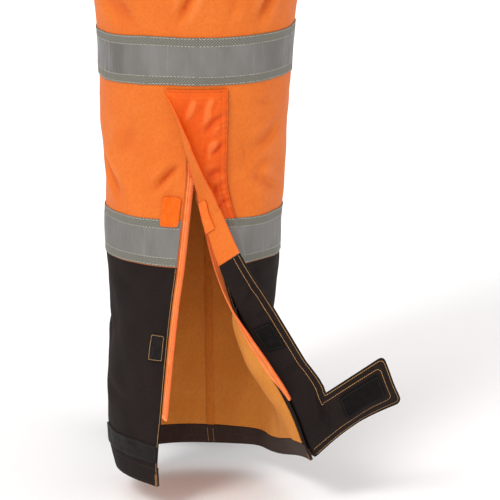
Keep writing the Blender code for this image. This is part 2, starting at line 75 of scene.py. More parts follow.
flap = {
    "seam": 33.0,             # from the zip forward to the flap's seam
    "width": 62.0,
    "top": 422.0,
    "gap": 1.75,
    "ramp": 13.0,
    "stand": 4.5,
    "closedStand": 3.2,
    "roll": 3.2,              # radius of the turned-over roll
    "crestReach": 40.0,       # the roll follows the run of the crest over this much either way
    "tabReach": 72.0,
    "tabHeight": 54.0,
    "tabStand": 3.9,
    "tabHollow": 7.0,         # how far the open tab's lower edge curves in
    "tabCorner": 6.0,
    "tabBlend": 21.0,         # above the tab, over which the straight fold goes over to the crest
    "tabWayAt": 25.0,
    "topEase": 26.0,          # below its top, over which it comes down on the leg
    # The row at -0.5 lies on the leg at the foot of the flap's edge: painted shadow along the seam.
    "rows": (-0.5, 1.6, 7.2),     # stitches along its seam
    "edgeRows": (2.2, 8.6),       # and inside its free edge
    "innerLift": -0.02,           # of the stitches on its inner side
    "easing": {"span": 36.0, "reach": 11, "from": 12.0, "over": 14.0},
}
rings = (
    # height, out, back, side, front: round a leg, and above the fork round half of the body
    (0.0, 112.0, 8.0, 69.0, 76.0),
    (30.0, 112.0, 10.0, 70.0, 82.0),
    (166.0, 113.0, 7.0, 75.5, 84.0),
    (259.0, 115.0, 5.0, 82.0, 88.5),
    (451.0, 117.0, 0.0, 96.0, 99.5),
    (640.0, 119.0, 0.0, 106.0, 113.0),
    (770.0, 120.0, 0.0, 114.0, 125.0),
    (790.0, 120.0, 0.0, 118.2, 127.0),
    (800.0, 117.0, 0.0, 124.0, 129.0),
    (820.0, 105.0, 0.0, 138.0, 133.0),
    (850.0, 82.0, 0.0, 160.0, 140.0),
    (900.0, 40.0, 0.0, 198.0, 147.0),
    (950.0, 10.0, 0.0, 227.0, 150.0),
    (990.0, 0.0, 0.0, 235.0, 150.0),
    (1040.0, 0.0, 0.0, 225.0, 142.0),
    (1150.0, 0.0, 0.0, 208.0, 130.0),
    (1300.0, 0.0, 0.0, 192.0, 118.0),
)
zipSpread = (
    # height, front, back, rise, points: how the open zip's two sides stand
    (0.0, 130.0, 27.0, 24.0, 72.0),
    (45.0, 117.0, 24.0, 27.0, 62.0),
    (76.0, 105.0, 21.0, 26.0, 52.0),
    (112.0, 86.0, 18.5, 20.0, 46.0),
    (154.0, 62.0, 15.5, 13.0, 60.0),
    (193.0, 42.0, 12.0, 7.0, 98.0),
    (235.0, 25.0, 7.0, 3.5, 145.0),
    (282.0, 12.0, 3.0, 1.5, 170.0),
    (322.0, 0.0, 0.0, 0.0, 180.0),
)
flapTurn = (
    # height, crest, faces, rise: where the open flap turns over, and which way its turned part runs
    (0.0, 22.0, 0.0, 3.0),
    (54.0, 23.5, 0.0, 3.0),
    (110.0, 24.0, 4.0, 0.0),
    (170.0, 26.0, 8.0, 0.0),
    (220.0, 28.8, 22.0, 0.0),
    (250.0, 30.0, 31.0, 0.0),
    (280.0, 30.6, 42.0, 0.0),
    (305.0, 28.6, 56.0, 0.0),
    (322.0, 28.9, 60.5, 0.0),
    (345.0, 34.2, 63.5, 0.0),
    (360.0, 38.4, 64.5, 0.0),
    (375.0, 41.9, 73.5, 0.0),
    (390.0, 45.8, 84.0, 0.0),
    (405.0, 51.5, 95.0, 0.0),
    (418.0, 60.0, 97.0, 0.0),
    (424.0, 62.0, 97.0, 0.0),
)
bibEdge = (
    # height, front, back: half widths as angles round the body
    (1040.0, 89.9, 89.9),
    (1065.0, 82.0, 82.0),
    (1095.0, 65.0, 67.0),
    (1140.0, 52.0, 50.0),
    (1200.0, 45.0, 37.0),
    (1255.0, 42.0, 30.0),
    (1290.0, 41.0, 29.0),
)
bib = {
    "frontTop": 1290.0,
    "backTop": 1255.0,
    "columns": 60,
    "step": 6.0,
    "flatShare": 0.82,        # of the body's wide radius, for its flat width
    "calmTop": 1042.0,        # it bends from here up
    "calmOver": 20.0,
    "waves": 1.2,
    "perDegree": 3.3,         # millimetres along the cloth
}
strap = {"width": 40.0, "thickness": 2.0, "selvedge": 3.0, "selvedgeSink": 0.35,
         "boxInset": 4.0, "endRows": (1240.0, 1297.7)}
strapPath = (
    # aside, back, height
    (58.0, 125.0, 1222.0),
    (60.0, 122.5, 1262.0),
    (68.0, 118.0, 1325.0),
    (78.0, 98.0, 1392.0),
    (85.0, 54.0, 1439.0),
    (88.0, 0.0, 1450.0),
    (90.0, -54.0, 1438.0),
    (92.0, -94.0, 1398.0),
    (94.0, -109.0, 1347.0),
)
hinge = {"at": 44.0, "span": 24.0, "leads": 6.0, "turns": 54.0, "bulge": 16.0, "bulgeSpan": 100.0,
         "edgeFrom": 130.0, "edgeSpan": 38.0}
ringSteps = 96
fineStep, fineTop = 4.0, 424.0     # between rows of the lower leg's points, up to this height
coarseStep = 8.0                   # and between those of the rest
sewnLift = garment["cloth"] + garment["layerGap"]
innerLift = -(garment["lining"] + garment["layerGap"])


def smooth(x):
    x = np.clip(x, 0.0, 1.0)
    return x * x * (3.0 - 2.0 * x)


def readTable(table, height):
    # One row of a table at any height, on a smooth curve through its rows.
    height = min(max(height, table[0][0]), table[-1][0])
    k = 0
    while k < len(table) - 2 and height > table[k + 1][0]:
        k += 1
    low, high = table[k], table[k + 1]
    span = high[0] - low[0]
    t = (height - low[0]) / span
    values = []
    for column in range(1, len(low)):
        rise = (high[column] - low[column]) / span
        below = rise if k == 0 else slope(table[k - 1], low, high, column)
        above = rise if k + 2 == len(table) else slope(low, high, table[k + 2], column)
        a = (2 * t ** 3 - 3 * t ** 2 + 1) * low[column] + (3 * t ** 2 - 2 * t ** 3) * high[column]
        b = (t ** 3 - 2 * t ** 2 + t) * span * below + (t ** 3 - t ** 2) * span * above
        values.append(a + b)
    return values


def slope(before, here, after, column):
    one = (here[column] - before[column]) / (here[0] - before[0])
    two = (after[column] - here[column]) / (after[0] - here[0])
    if one * two <= 0.0:
        return 0.0
    return 2 * one * two / (one + two)


def closedLine(height):
    # Half a ring from the outer seam to the inner one: (out, forward, rise) from the middle plane.
    out, back, side, front = readTable(rings, height)
    end = math.pi
    if side > out - garment["cloth"]:
        lean = min(out / side, 0.999)
        across = math.hypot(lean / side, math.sqrt(1.0 - lean * lean) / front)
        gap = garment["cloth"] * (lean / side) / across - garment["seamLap"]
        end = math.acos(max(-1.0, -(out - gap) / side))
    angle = np.linspace(0.0, end, ringSteps + 1)
    return np.stack([out + side * np.cos(angle), front * np.sin(angle), 0.0 * angle], 1), back


def uncurledLine(height, amount, points):
    # The half ring kept at its inner seam and straightened, its zip edge rolled to point one way.
    out, back, side, front = readTable(rings, height)
    step = math.pi / ringSteps
    turn = (np.arange(ringSteps) + 0.5) * step
    degrees = np.degrees(turn)
    length = np.hypot(front * np.cos(turn), side * np.sin(turn)) * step
    shut = np.arctan2(side * np.sin(turn), front * np.cos(turn))
    lead = np.minimum(degrees / hinge["at"], 1.0)
    fold = smooth((degrees - hinge["at"]) / hinge["span"])
    bulge = smooth((degrees - hinge["at"] - hinge["span"]) / hinge["bulgeSpan"])
    opened = np.radians(hinge["leads"] * lead + hinge["turns"] * fold + hinge["bulge"] * bulge)
    share = amount * (turn / math.pi) ** (3.0 * max(1.0 - amount, 0.0))
    way = shut + share * (opened - shut)
    if points is not None:
        way += smooth((degrees - hinge["edgeFrom"]) / hinge["edgeSpan"]) * (math.radians(points) - way)
    forward = np.concatenate([[0.0], np.cumsum(length * np.cos(way))])
    outward = np.concatenate([[-side], -side + np.cumsum(length * np.sin(way))])
    return np.stack([out + outward, forward, 0.0 * forward], 1)[::-1], back


def openedLine(height, spread, rise, points):
    # The half ring straightened by as much as brings its zip edge to this spread.
    low, high = -0.6, 1.3
    for _ in range(30):
        middle = (low + high) / 2
        line, back = uncurledLine(height, middle, points)
        if line[0][1] < spread:
            low = middle
        else:
            high = middle
    share = 1.0 - np.arange(ringSteps + 1) / ringSteps
    line = line.copy()
    line[:, 2] = rise * smooth((share - 0.4) / 0.6)
    return line, back


def unit(vectors):
    return vectors / np.maximum(np.linalg.norm(vectors, axis=-1, keepdims=True), 1e-12)


def waysOut(points, turn):
    # The way out at each point of a lattice. turn is 1 where rows run clockwise seen from above.
    along = np.empty_like(points)
    steps = unit(np.diff(points, axis=1))
    along[:, 1:-1] = steps[:, 1:] + steps[:, :-1]
    along[:, 0], along[:, -1] = steps[:, 0], steps[:, -1]
    up = np.empty_like(points)
    steps = unit(np.diff(points, axis=0))
    up[1:-1] = steps[1:] + steps[:-1]
    up[0], up[-1] = steps[0], steps[-1]
    return turn * unit(np.cross(along, up))


class Sheet:
    # A curved sheet of cloth in rows. A point of it is found by its height and its distance along.
    def __init__(self, heights, distances, points, ways):
        self.heights = np.array(heights, float)
        self.distances = distances
        self.points = points
        self.ways = ways
        # folds are dents from which the finish paints shade into creases and highlight onto ridges.
        self.bends = self.folds = lambda height, distances: 0.0 * distances

    def raw(self, height):
        i = int(np.searchsorted(self.heights, height, side="right")) - 1
        i = min(max(i, 0), len(self.heights) - 2)
        t = (height - self.heights[i]) / (self.heights[i + 1] - self.heights[i])
        mix = [a[i] * (1.0 - t) + a[i + 1] * t for a in (self.distances, self.points, self.ways)]
        return mix

    def row(self, height, distances, lift=0.0, bent=True):
        # Points and ways out at one height, for an array of distances; past its ends it runs straight
        # on. Without bends a flap over it spans its creases.
        at, points, ways = self.raw(height)
        distances = np.asarray(distances, float)
        found = np.stack([np.interp(distances, at, points[:, k]) for k in range(3)], 1)
        way = unit(np.stack([np.interp(distances, at, ways[:, k]) for k in range(3)], 1))
        for end, inner in ((0, 1), (-1, -2)):
            past = distances < at[0] if end == 0 else distances > at[-1]
            if past.any():
                run = (points[end] - points[inner]) / abs(at[end] - at[inner])
                found[past] = points[end] + run * np.abs(distances[past] - at[end])[:, None]
        if bent:
            lift = lift + self.bends(height, distances)
        return found + way * np.broadcast_to(lift, distances.shape)[:, None], way

    def spots(self, heights, distances, lift=0.0):
        # Points and ways out where each has a height of its own.
        heights, distances = np.asarray(heights, float), np.asarray(distances, float)
        i = np.clip(np.searchsorted(self.heights, heights, side="right") - 1, 0, len(self.heights) - 2)
        t = ((heights - self.heights[i]) / (self.heights[i + 1] - self.heights[i]))[:, None]
        at = self.distances[i] * (1.0 - t) + self.distances[i + 1] * t
        k = np.clip((at <= distances[:, None]).sum(1) - 1, 0, at.shape[1] - 2)
        each = np.arange(len(k))
        u = ((distances - at[each, k]) / (at[each, k + 1] - at[each, k]))[:, None]
        found = []
        for table in (self.points, self.ways):
            start = table[i, k] * (1.0 - t) + table[i + 1, k] * t
            end = table[i, k + 1] * (1.0 - t) + table[i + 1, k + 1] * t
            found.append((start, end))
        points = found[0][0] * (1.0 - u) + found[0][1] * u
        share = np.clip(u, 0.0, 1.0)
        ways = unit(found[1][0] * (1.0 - share) + found[1][1] * share)
        lift = lift + self.bends(heights, distances)
        return points + ways * np.broadcast_to(lift, distances.shape)[:, None], ways

    def spot(self, height, distance, lift=0.0):
        found, way = self.spots([height], [distance], lift)
        return found[0], way[0]

    def width(self, height):
        return float(self.raw(height)[0][-1])


def legSheet(side, face, opened):
    # side is -1 for the wearer's right leg.
    sign = 1.0 if face == "front" else -1.0
    heights = np.concatenate([np.arange(0.0, fineTop + 1.0, fineStep),
                              np.arange(fineTop + coarseStep, garment["waist"] + 1.0, coarseStep)])
    distances, points = [], []
    for height in heights:
        if opened and height < zipper["apex"]:
            front, behind, rise, way = readTable(zipSpread, height)
            if face == "front":
                line, back = openedLine(height, front, rise, way)
            else:
                line, back = openedLine(height, behind, 0.0, None)
        else:
            line, back = closedLine(height)
        path = np.stack([side * line[:, 0], back - sign * line[:, 1], height + line[:, 2]], 1)
        steps = np.linalg.norm(np.diff(path, axis=0), axis=1)
        distances.append(np.concatenate([[0.0], np.cumsum(steps)]))
        points.append(path)
    points, distances = np.array(points), np.array(distances)
    if opened and face == "front":
        points += eased(points, heights, distances, zipper["easing"])
    return Sheet(heights, distances, points, waysOut(points, -side * sign))


def eased(points, heights, distances, easing, climbs=1.0):
    # How far each point moves so that the cloth bends gently where the zip starts to open.
    # climbs is 0 for directions, which don't rise from row to row.
    reach = easing["reach"]
    weights = np.hanning(2 * reach + 3)[1:-1]
    moves = np.zeros_like(points)
    for k in range(reach, len(heights) - reach):
        window = points[k - reach:k + reach + 1] - points[k]
        window[..., 2] -= climbs * (heights[k - reach:k + reach + 1] - heights[k])[:, None]
        moves[k] = (window * weights[:, None, None]).sum(0) / weights.sum()
    moves *= np.exp(-((heights - zipper["apex"]) / easing["span"]) ** 4)[:, None, None]
    return moves * smooth((distances - easing["from"]) / easing["over"])[..., None]


# Creases of a leg, each a soft trough with a low ridge on either side. Distances run from the side
# seam, forward positive.
shownCreases = (
    # distance, height, to distance, to height, half width, depth, bow
    (8.0, 556.0, -24.0, 479.0, 6.0, 3.6, 3.0),
    (106.0, 536.0, 62.0, 480.0, 7.0, 3.2, -3.0),
    (44.0, 520.0, 30.0, 486.0, 5.0, 1.3, 2.0),
    (-96.0, 520.0, -60.0, 484.0, 6.0, 1.5, -2.0),
    (-124.0, 520.0, -68.0, 477.0, 11.0, 1.8, 4.0),
    (-136.0, 344.0, -76.0, 292.0, 7.0, 2.8, 5.0),
    (-8.0, 346.0, -46.0, 304.0, 5.5, 2.8, -3.0),
    (-60.0, 392.0, -104.0, 330.0, 14.0, 1.3, 4.0),
    (104.0, 384.0, 52.0, 352.0, 8.0, 1.6, 4.0),
    (56.0, 330.0, 118.0, 300.0, 7.0, 1.6, -3.0),
    (62.0, 404.0, 92.0, 396.0, 6.0, 1.2, 2.0),
    (46.0, 372.0, 58.0, 330.0, 5.0, 1.1, 2.0),
    (84.0, 346.0, 60.0, 312.0, 6.0, 1.0, -2.0),
    (-150.0, 180.0, -96.0, 132.0, 10.0, 1.3, 4.0),
    (-92.0, 214.0, -40.0, 196.0, 12.0, 0.9, 2.0),
    (-110.0, 96.0, -46.0, 78.0, 9.0, 1.1, -3.0),
    (150.0, 190.0, 120.0, 120.0, 10.0, 1.2, 3.0),
    (222.0, 210.0, 176.0, 140.0, 9.0, 1.4, 3.0),
    (-232.0, 160.0, -190.0, 90.0, 10.0, 1.3, -3.0),
)
hiddenCreases = (
    (124.0, 352.0, 70.0, 300.0, 8.0, 2.2, 4.0),
    (-40.0, 372.0, -92.0, 322.0, 8.0, 2.0, -4.0),
    (-150.0, 340.0, -84.0, 300.0, 9.0, 2.0, 4.0),
    (60.0, 538.0, 12.0, 480.0, 8.0, 2.6, 3.0),
    (150.0, 215.0, 84.0, 180.0, 9.0, 1.6, 3.0),
    (-124.0, 190.0, -66.0, 150.0, 9.0, 1.5, -3.0),
    (-60.0, 92.0, -128.0, 66.0, 9.0, 1.2, 3.0),
    (96.0, 120.0, 150.0, 84.0, 9.0, 1.3, 3.0),
    (228.0, 250.0, 170.0, 196.0, 9.0, 1.5, 3.0),
    (-224.0, 230.0, -176.0, 150.0, 10.0, 1.4, -3.0),
)
upperCreases = (
    # behind the knee
    (-236.0, 560.0, -120.0, 540.0, 9.0, 3.4, 8.0),
    (-110.0, 596.0, -220.0, 610.0, 10.0, 3.0, -8.0),
    (-140.0, 506.0, -250.0, 522.0, 9.0, 2.6, 6.0),
    (-70.0, 570.0, -128.0, 628.0, 10.0, 2.2, 4.0),
    # in front of the knee
    (86.0, 600.0, 150.0, 556.0, 12.0, 2.4, 5.0),
    (236.0, 604.0, 172.0, 560.0, 11.0, 2.4, -5.0),
    (120.0, 668.0, 196.0, 640.0, 14.0, 2.0, 5.0),
    # thigh, running up to the fork and the hip
    (300.0, 786.0, 196.0, 712.0, 13.0, 4.2, 6.0),
    (318.0, 806.0, 170.0, 812.0, 14.0, 4.4, -9.0),
    (330.0, 770.0, 262.0, 660.0, 12.0, 3.0, 4.0),
    (-306.0, 788.0, -190.0, 724.0, 13.0, 4.2, -6.0),
    (-330.0, 812.0, -170.0, 834.0, 15.0, 4.6, 9.0),
    (-250.0, 760.0, -210.0, 650.0, 13.0, 2.6, 4.0),
    (20.0, 842.0, 96.0, 780.0, 16.0, 3.2, 6.0),
    (-30.0, 770.0, 40.0, 690.0, 15.0, 2.4, -5.0),
    (-60.0, 850.0, -140.0, 770.0, 16.0, 2.8, 6.0),
    (10.0, 640.0, 66.0, 596.0, 12.0, 2.0, 4.0),
    # hip and seat
    (60.0, 930.0, 190.0, 900.0, 17.0, 3.0, 8.0),
    (-70.0, 936.0, -220.0, 912.0, 18.0, 3.4, -8.0),
    (240.0, 1004.0, 300.0, 930.0, 15.0, 2.4, 5.0),
    (-250.0, 1006.0, -300.0, 920.0, 16.0, 2.6, -5.0),
    (30.0, 1012.0, 84.0, 968.0, 14.0, 2.0, 4.0),
)
creaseDepth = 1.7     # times the depths in these tables
waves = (
    # long shallow waves of the whole cloth: depth, turns per metre along, turns per metre up, start
    (1.2, 5.3, 2.1, 0.4),
    (0.9, -3.1, 6.7, 1.9),
    (0.65, 9.7, 7.9, 3.1),
    (0.4, 17.0, -9.0, 5.2),
    (0.22, 31.0, 13.0, 2.2),
    (0.18, -19.0, 27.0, 4.4),
)


def creaseLift(table, height, distances, shift=0.0):
    lift = np.zeros_like(distances)
    lowest, highest = np.min(height), np.max(height)
    for fromAlong, fromHeight, toAlong, toHeight, half, depth, bow in table:
        fromHeight, toHeight = fromHeight + shift, toHeight + shift
        margin = 4.0 * half + abs(bow)
        if max(fromHeight, toHeight) + margin < lowest or min(fromHeight, toHeight) - margin > highest:
            continue
        runAlong, runUp = toAlong - fromAlong, toHeight - fromHeight
        length = math.hypot(runAlong, runUp)
        t = ((distances - fromAlong) * runAlong + (height - fromHeight) * runUp) / length ** 2
        across = ((distances - fromAlong) * runUp - (height - fromHeight) * runAlong) / length
        across = (across + bow * np.sin(np.pi * np.clip(t, 0.0, 1.0))) / half
        ends = smooth(t / 0.35) * smooth((1.0 - t) / 0.45)
        lift -= creaseDepth * depth * ends * (1.0 - 1.1 * across ** 2) * np.exp(-across ** 2 / 1.6)
    return lift


def waveLift(height, distances, size):
    lift = np.zeros_like(distances)
    for depth, across, up, start in waves:
        turn = 2.0 * math.pi * (across * distances + up * height) * mm + start
        lift += size * depth * np.sin(turn)
    return lift


def legBends(sheet, side, sign, size):
    # Everything that dents one half of a leg. It fades out near the open zip, the hem and the inner
    # seam. size is how much of the long waves it takes besides the creases.
    opened = side < 0
    widths = sheet.distances[:, -1]

    def bends(height, distances):
        signed = sign * distances
        height = height + 0.0 * distances
        lift = waveLift(height, signed + (0.0 if opened else 140.0), size)
        lift += creaseLift(shownCreases if opened else hiddenCreases, height, signed)
        lift += creaseLift(upperCreases, height, signed, 0.0 if opened else -14.0)
        calm = 0.15 + 0.85 * smooth((np.abs(distances) - 9.0) / 12.0)
        if sign > 0.0:
            # The flap's seam holds the cloth flat.
            calm *= 0.1 + 0.9 * smooth((distances - flap["seam"]) / 22.0)
        calm = np.where(height < flap["top"], calm, 1.0 - (1.0 - calm) * smooth((440.0 - height) / 16.0))
        calm *= smooth((np.interp(height, sheet.heights, widths) - distances - 0.5) / 30.0)
        return lift * calm * smooth(height / 30.0) * smooth((1040.0 - height) / 24.0)

    return bends


class Leg:
    # One leg as two sheets, its front and its back. side is -1 for the wearer's right leg.
    def __init__(self, side, word):
        self.side, self.word, self.opened = side, word, side < 0
        self.front = legSheet(side, "front", self.opened)
        self.back = legSheet(side, "back", self.opened)
        for column in (0, -1):
            # Where the two halves meet they share one way out, so that no seam shows.
            apart = np.linalg.norm(self.front.points[:, column] - self.back.points[:, column], axis=1)
            joined = apart < 0.5
            both = unit(self.front.ways[joined, column] + self.back.ways[joined, column])
            self.front.ways[joined, column] = both
            self.back.ways[joined, column] = both
        for sheet, sign in ((self.front, 1.0), (self.back, -1.0)):
            sheet.bends = legBends(sheet, side, sign, 1.0)
            # folds, with 0.35 of the long waves, set the painted crease shade and ridge highlight.
            sheet.folds = legBends(sheet, side, sign, 0.35)

    def half(self, face):
        return self.front if face == "front" else self.back

    def edge(self, height):
        # Where each half starts beside the zip.
        if not self.opened:
            return 0.0
        return zipper["edge"] * (1.0 - float(smooth((height - zipper["top"]) / 6.0)))


def rowsBetween(low, high, step):
    count = max(2, int(round((high - low) / step)) + 1)
    return list(np.linspace(low, high, count))


def block(sheet, heights, columns, lift, sign=1.0, ripple=None, sag=None):
    # One grid of a sheet: its points, the ways out and the cloth's own measure at each point.
    # sag moves each point up or down the sheet.
    points, ways, measure, folds = [], [], [], []
    for height in heights:
        distances = np.asarray(columns(height) if callable(columns) else columns, float)
        extra = (ripple(height, sign * distances) if ripple else 0.0) + 0.0 * distances
        if sag:
            found, way = sheet.spots(height + sag(height, sign * distances), distances, lift + extra)
        else:
            found, way = sheet.row(height, distances, lift + extra)
        points.append(found)
        ways.append(way)
        measure.append(np.stack([sign * distances, np.full(len(distances), height)], 1))
        folds.append(sheet.folds(height, distances))
    return {"points": np.array(points), "ways": np.array(ways), "measure": np.array(measure),
            "folds": np.array(folds)}


def toWorld(points):
    # From millimetres above the hem to metres from the shoulders.
    points = np.array(points, float)
    points[..., 2] -= garment["shoulders"]
    return points * mm


def clothPiece(name, blocks, wall, finishes, weld=False):
    # A wall of cloth from grids, thickened outwards. A second finish goes on its inner side.
    vertices, faces, measures, folds, area = [], [], [], [], 0.0
    start = 0
    for grid in blocks:
        points, ways, measure = grid["points"], grid["ways"], grid["measure"]
        index = start + np.arange(points.shape[0] * points.shape[1]).reshape(points.shape[:2])
        quads = np.stack([index[:-1, :-1], index[:-1, 1:], index[1:, 1:], index[1:, :-1]], -1)
        keep = grid.get("keep")
        if keep is None:
            keep = np.ones(quads.shape[:2], bool)
        across = points[:-1, 1:] - points[:-1, :-1]
        up = points[1:, :-1] - points[:-1, :-1]
        outward = (np.cross(across, up) * ways[:-1, :-1]).sum(-1)
        if outward[keep].sum() < 0.0:
            quads = quads[..., ::-1]
        sides = np.abs(measure[:-1, 1:, 0] - measure[:-1, :-1, 0])
        rises = np.abs(measure[1:, :-1, 1] - measure[:-1, :-1, 1])
        area += float((sides * rises)[keep].sum())
        faces.append(quads[keep])
        vertices.append(points.reshape(-1, 3))
        measures.append(measure.reshape(-1, 2))
        folds.append(grid.get("folds", np.zeros(points.shape[:2])).ravel())
        start += points.shape[0] * points.shape[1]
    faces, vertices = np.concatenate(faces), toWorld(np.concatenate(vertices))
    measures = np.concatenate(measures)
    used, faces = np.unique(faces, return_inverse=True)
    faces = faces.reshape(-1, 4)
    vertices, measures, folds = vertices[used], measures[used], np.concatenate(folds)[used]
    mesh = bpy.data.meshes.new(name)
    mesh.from_pydata(vertices.tolist(), [], faces.tolist())
    # How far each point is bent in or out, in millimetres: from it the finish paints shade down in the
    # creases and highlight on the ridges.
    mesh.attributes.new("fold", "FLOAT", "POINT").data.foreach_set("value", folds)
    layer = mesh.uv_layers.new(name="cloth")
    layer.data.foreach_set("uv", (measures[faces.ravel()] * mm).ravel())
    if weld:
        shape = bmesh.new()
        shape.from_mesh(mesh)
        bmesh.ops.remove_doubles(shape, verts=shape.verts, dist=0.04 * mm)
        shape.to_mesh(mesh)
        shape.free()
    made = bpy.data.objects.new(name, mesh)
    bpy.context.scene.collection.objects.link(made)
    for finish in finishes:
        mesh.materials.append(finish)
    thicken = made.modifiers.new("Wall", "SOLIDIFY")
    thicken.thickness = wall * mm
    thicken.offset = 1.0
    thicken.use_quality_normals = True
    thicken.material_offset = len(finishes) - 1
    deselect()
    made.select_set(True)
    bpy.context.view_layer.objects.active = made
    bpy.ops.object.modifier_apply(modifier=thicken.name)
    made.data.shade_smooth()
    made.data.set_sharp_from_angle(angle=math.radians(50.0))
    return made


def deselect():
    for item in bpy.context.selected_objects:
        item.select_set(False)


def settle(piece, nodes):
    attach(piece, "root")
    if nodes:
        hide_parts(*nodes)


def cloth(piece, nodes):
    # A piece of cloth, put in place of these parts of the model.
    settle(piece, nodes)


# The legs and their reflective tape.
legMesh = {"columns": 72, "shownStep": 3.0, "shownTop": 480.0, "hiddenStep": 6.0}
tapeLook = {
    "inset": 9.0,             # from its edge to its inner row of stitches
    "edgeRow": 1.3,           # and to its outer row
    "borderSoft": 0.6,        # half of the width over which its borders go over to its middle
    "pucker": 7.5,
    "puckerDepth": 0.34,
    "puckerEdge": 1.0,
    "puckerReach": 3.2,
    "ease": 0.1,              # how far it stands off the cloth
    "columnStep": 1.9,
    "rowStep": 2.0,
    "sag": 4.5,               # the shown leg's upper band hangs this much lower at the back
    "sagFrom": 20.0,
    "sagOver": 100.0,
    "overSeam": 4.0,          # over which the lower band comes down beyond the flap's seam
    "shownFrom": 16.0,        # where it starts beside the open zip
}


def shellRows(low, high):
    if high <= legMesh["shownTop"]:
        return rowsBetween(low, high, legMesh["shownStep"])
    lower = rowsBetween(low, legMesh["shownTop"], legMesh["shownStep"])
    return lower + rowsBetween(legMesh["shownTop"], high, legMesh["hiddenStep"])[1:]


def legShell(leg, name, low, high, finishes):
    blocks = []
    heights = shellRows(low, high)
    for face, sign in (("front", 1.0), ("back", -1.0)):
        sheet = leg.half(face)

        def columns(height):
            return np.linspace(leg.edge(height), sheet.width(height), legMesh["columns"])

        blocks.append(block(sheet, heights, columns, 0.0, sign))
    return clothPiece(name, blocks, garment["cloth"], finishes, weld=True)


def tapeRipple(low, high):
    # Sewing gathers the tape a little along both of its stitch lines.
    inset, edge = tapeLook["inset"], tapeLook["puckerEdge"]

    def ripple(height, signed):
        near = 0.0
        for line in (low + inset, high - inset, low + edge, high - edge):
            near += math.exp(-((height - line) / tapeLook["puckerReach"]) ** 2)
        turn = 2.0 * math.pi * signed / tapeLook["pucker"]
        waver = np.sin(turn + 2.3 * np.sin(turn * 0.31)) * (0.6 + 0.4 * np.sin(turn * 0.13 + 1.0))
        return tapeLook["ease"] + tapeLook["puckerDepth"] * near * waver

    return ripple


def tapeSag(leg, height, signed):
    # The shown leg's upper band hangs a little lower towards the back of the leg.
    if not leg.opened or height < garment["upperTape"][0]:
        return 0.0 * signed
    return -tapeLook["sag"] * smooth((-signed - tapeLook["sagFrom"]) / tapeLook["sagOver"])


def tapeLift(leg, face, distances):
    # The lower band runs on over the seam of the open flap.
    lift = sewnLift + 0.0 * distances
    if leg.opened and face == "front":
        reach = tapeLook["overSeam"]
        lift += (flap["gap"] + sewnLift) * smooth((flap["seam"] + reach - distances) / reach)
    return lift


def tapeStart(leg, face):
    if face == "back":
        return zipper["edge"] * leg.opened
    return tapeLook["shownFrom"] if leg.opened else flap["seam"] + 1.0


def tapeBand(leg, name, faces, low, high, starts, finish):
    blocks = []
    heights = rowsBetween(low, high, tapeLook["rowStep"])
    for face in faces:
        sheet = leg.half(face)
        sign = 1.0 if face == "front" else -1.0
        first = starts[face]
        count = int((sheet.width(low) - first) / tapeLook["columnStep"])
        pucker = tapeRipple(low, high)

        def columns(height):
            return np.linspace(first, sheet.width(height), count)

        def ripple(height, signed):
            lift = tapeLift(leg, face, sign * signed) if high < garment["upperTape"][0] else sewnLift
            return pucker(height, signed) + lift

        blocks.append(block(sheet, heights, columns, 0.0, sign, ripple,
                            lambda height, signed: tapeSag(leg, height, signed)))
    return clothPiece(name, blocks, garment["tape"], [finish], weld=len(faces) > 1)


def bandPiece(leg, name, face, low, high, first, last, lift, wall, finishes, step=4.0, point=0.0):
    # point is the length over which its lower end narrows to a point.
    sheet = leg.half(face)
    heights = rowsBetween(low, high, step)
    count = max(4, int(((last or sheet.width(low)) - first) / step))

    def columns(height):
        far = last or sheet.width(height)
        if point:
            far = first + (far - first) * (0.2 + 0.8 * min((height - low) / point, 1.0))
        return np.linspace(first, far, count)

    sign = 1.0 if face == "front" else -1.0
    return clothPiece(name, [block(sheet, heights, columns, lift, sign)], wall, finishes)


# The storm flap over the zip.
# paintedFoldLight scales the flap's dents into its painted crease shade and ridge highlight.
flapMesh = {"onLeg": 26, "roll": 10, "turned": 12, "tab": 22, "paintedFoldLight": 2.5}
flapCreases = (
    # distance, height, to distance, to height, half width, depth, bow
    # A negative depth makes a ridge; those near the top carry painted highlight streaks.
    (4.0, 398.0, 26.0, 372.0, 4.5, 1.2, 2.0),
    (14.0, 418.0, 22.0, 386.0, 3.5, -1.0, 2.0),
    (32.0, 416.0, 44.0, 386.0, 4.0, -1.0, -1.0),
    (12.0, 372.0, 20.0, 344.0, 4.0, -0.9, 1.0),
    (8.0, 322.0, 16.0, 306.0, 4.0, 0.9, 1.0),
    (2.0, 366.0, 22.0, 352.0, 4.0, 0.9, -1.0),
    (3.0, 340.0, 24.0, 326.0, 5.0, 1.0, 1.5),
    (2.0, 306.0, 20.0, 290.0, 4.0, 0.8, 1.0),
    (60.0, 206.0, 34.0, 186.0, 6.0, 0.9, 2.0),
    (58.0, 172.0, 36.0, 166.0, 5.0, 0.8, 1.0),
    (60.0, 112.0, 34.0, 100.0, 7.0, 0.8, 1.0),
    (54.0, 70.0, 44.0, 20.0, 3.5, 2.2, 2.0),
    (62.0, 44.0, 50.0, 6.0, 3.0, 1.3, -1.5),
    (70.0, 8.0, 112.0, 20.0, 7.0, 1.0, 3.0),
)


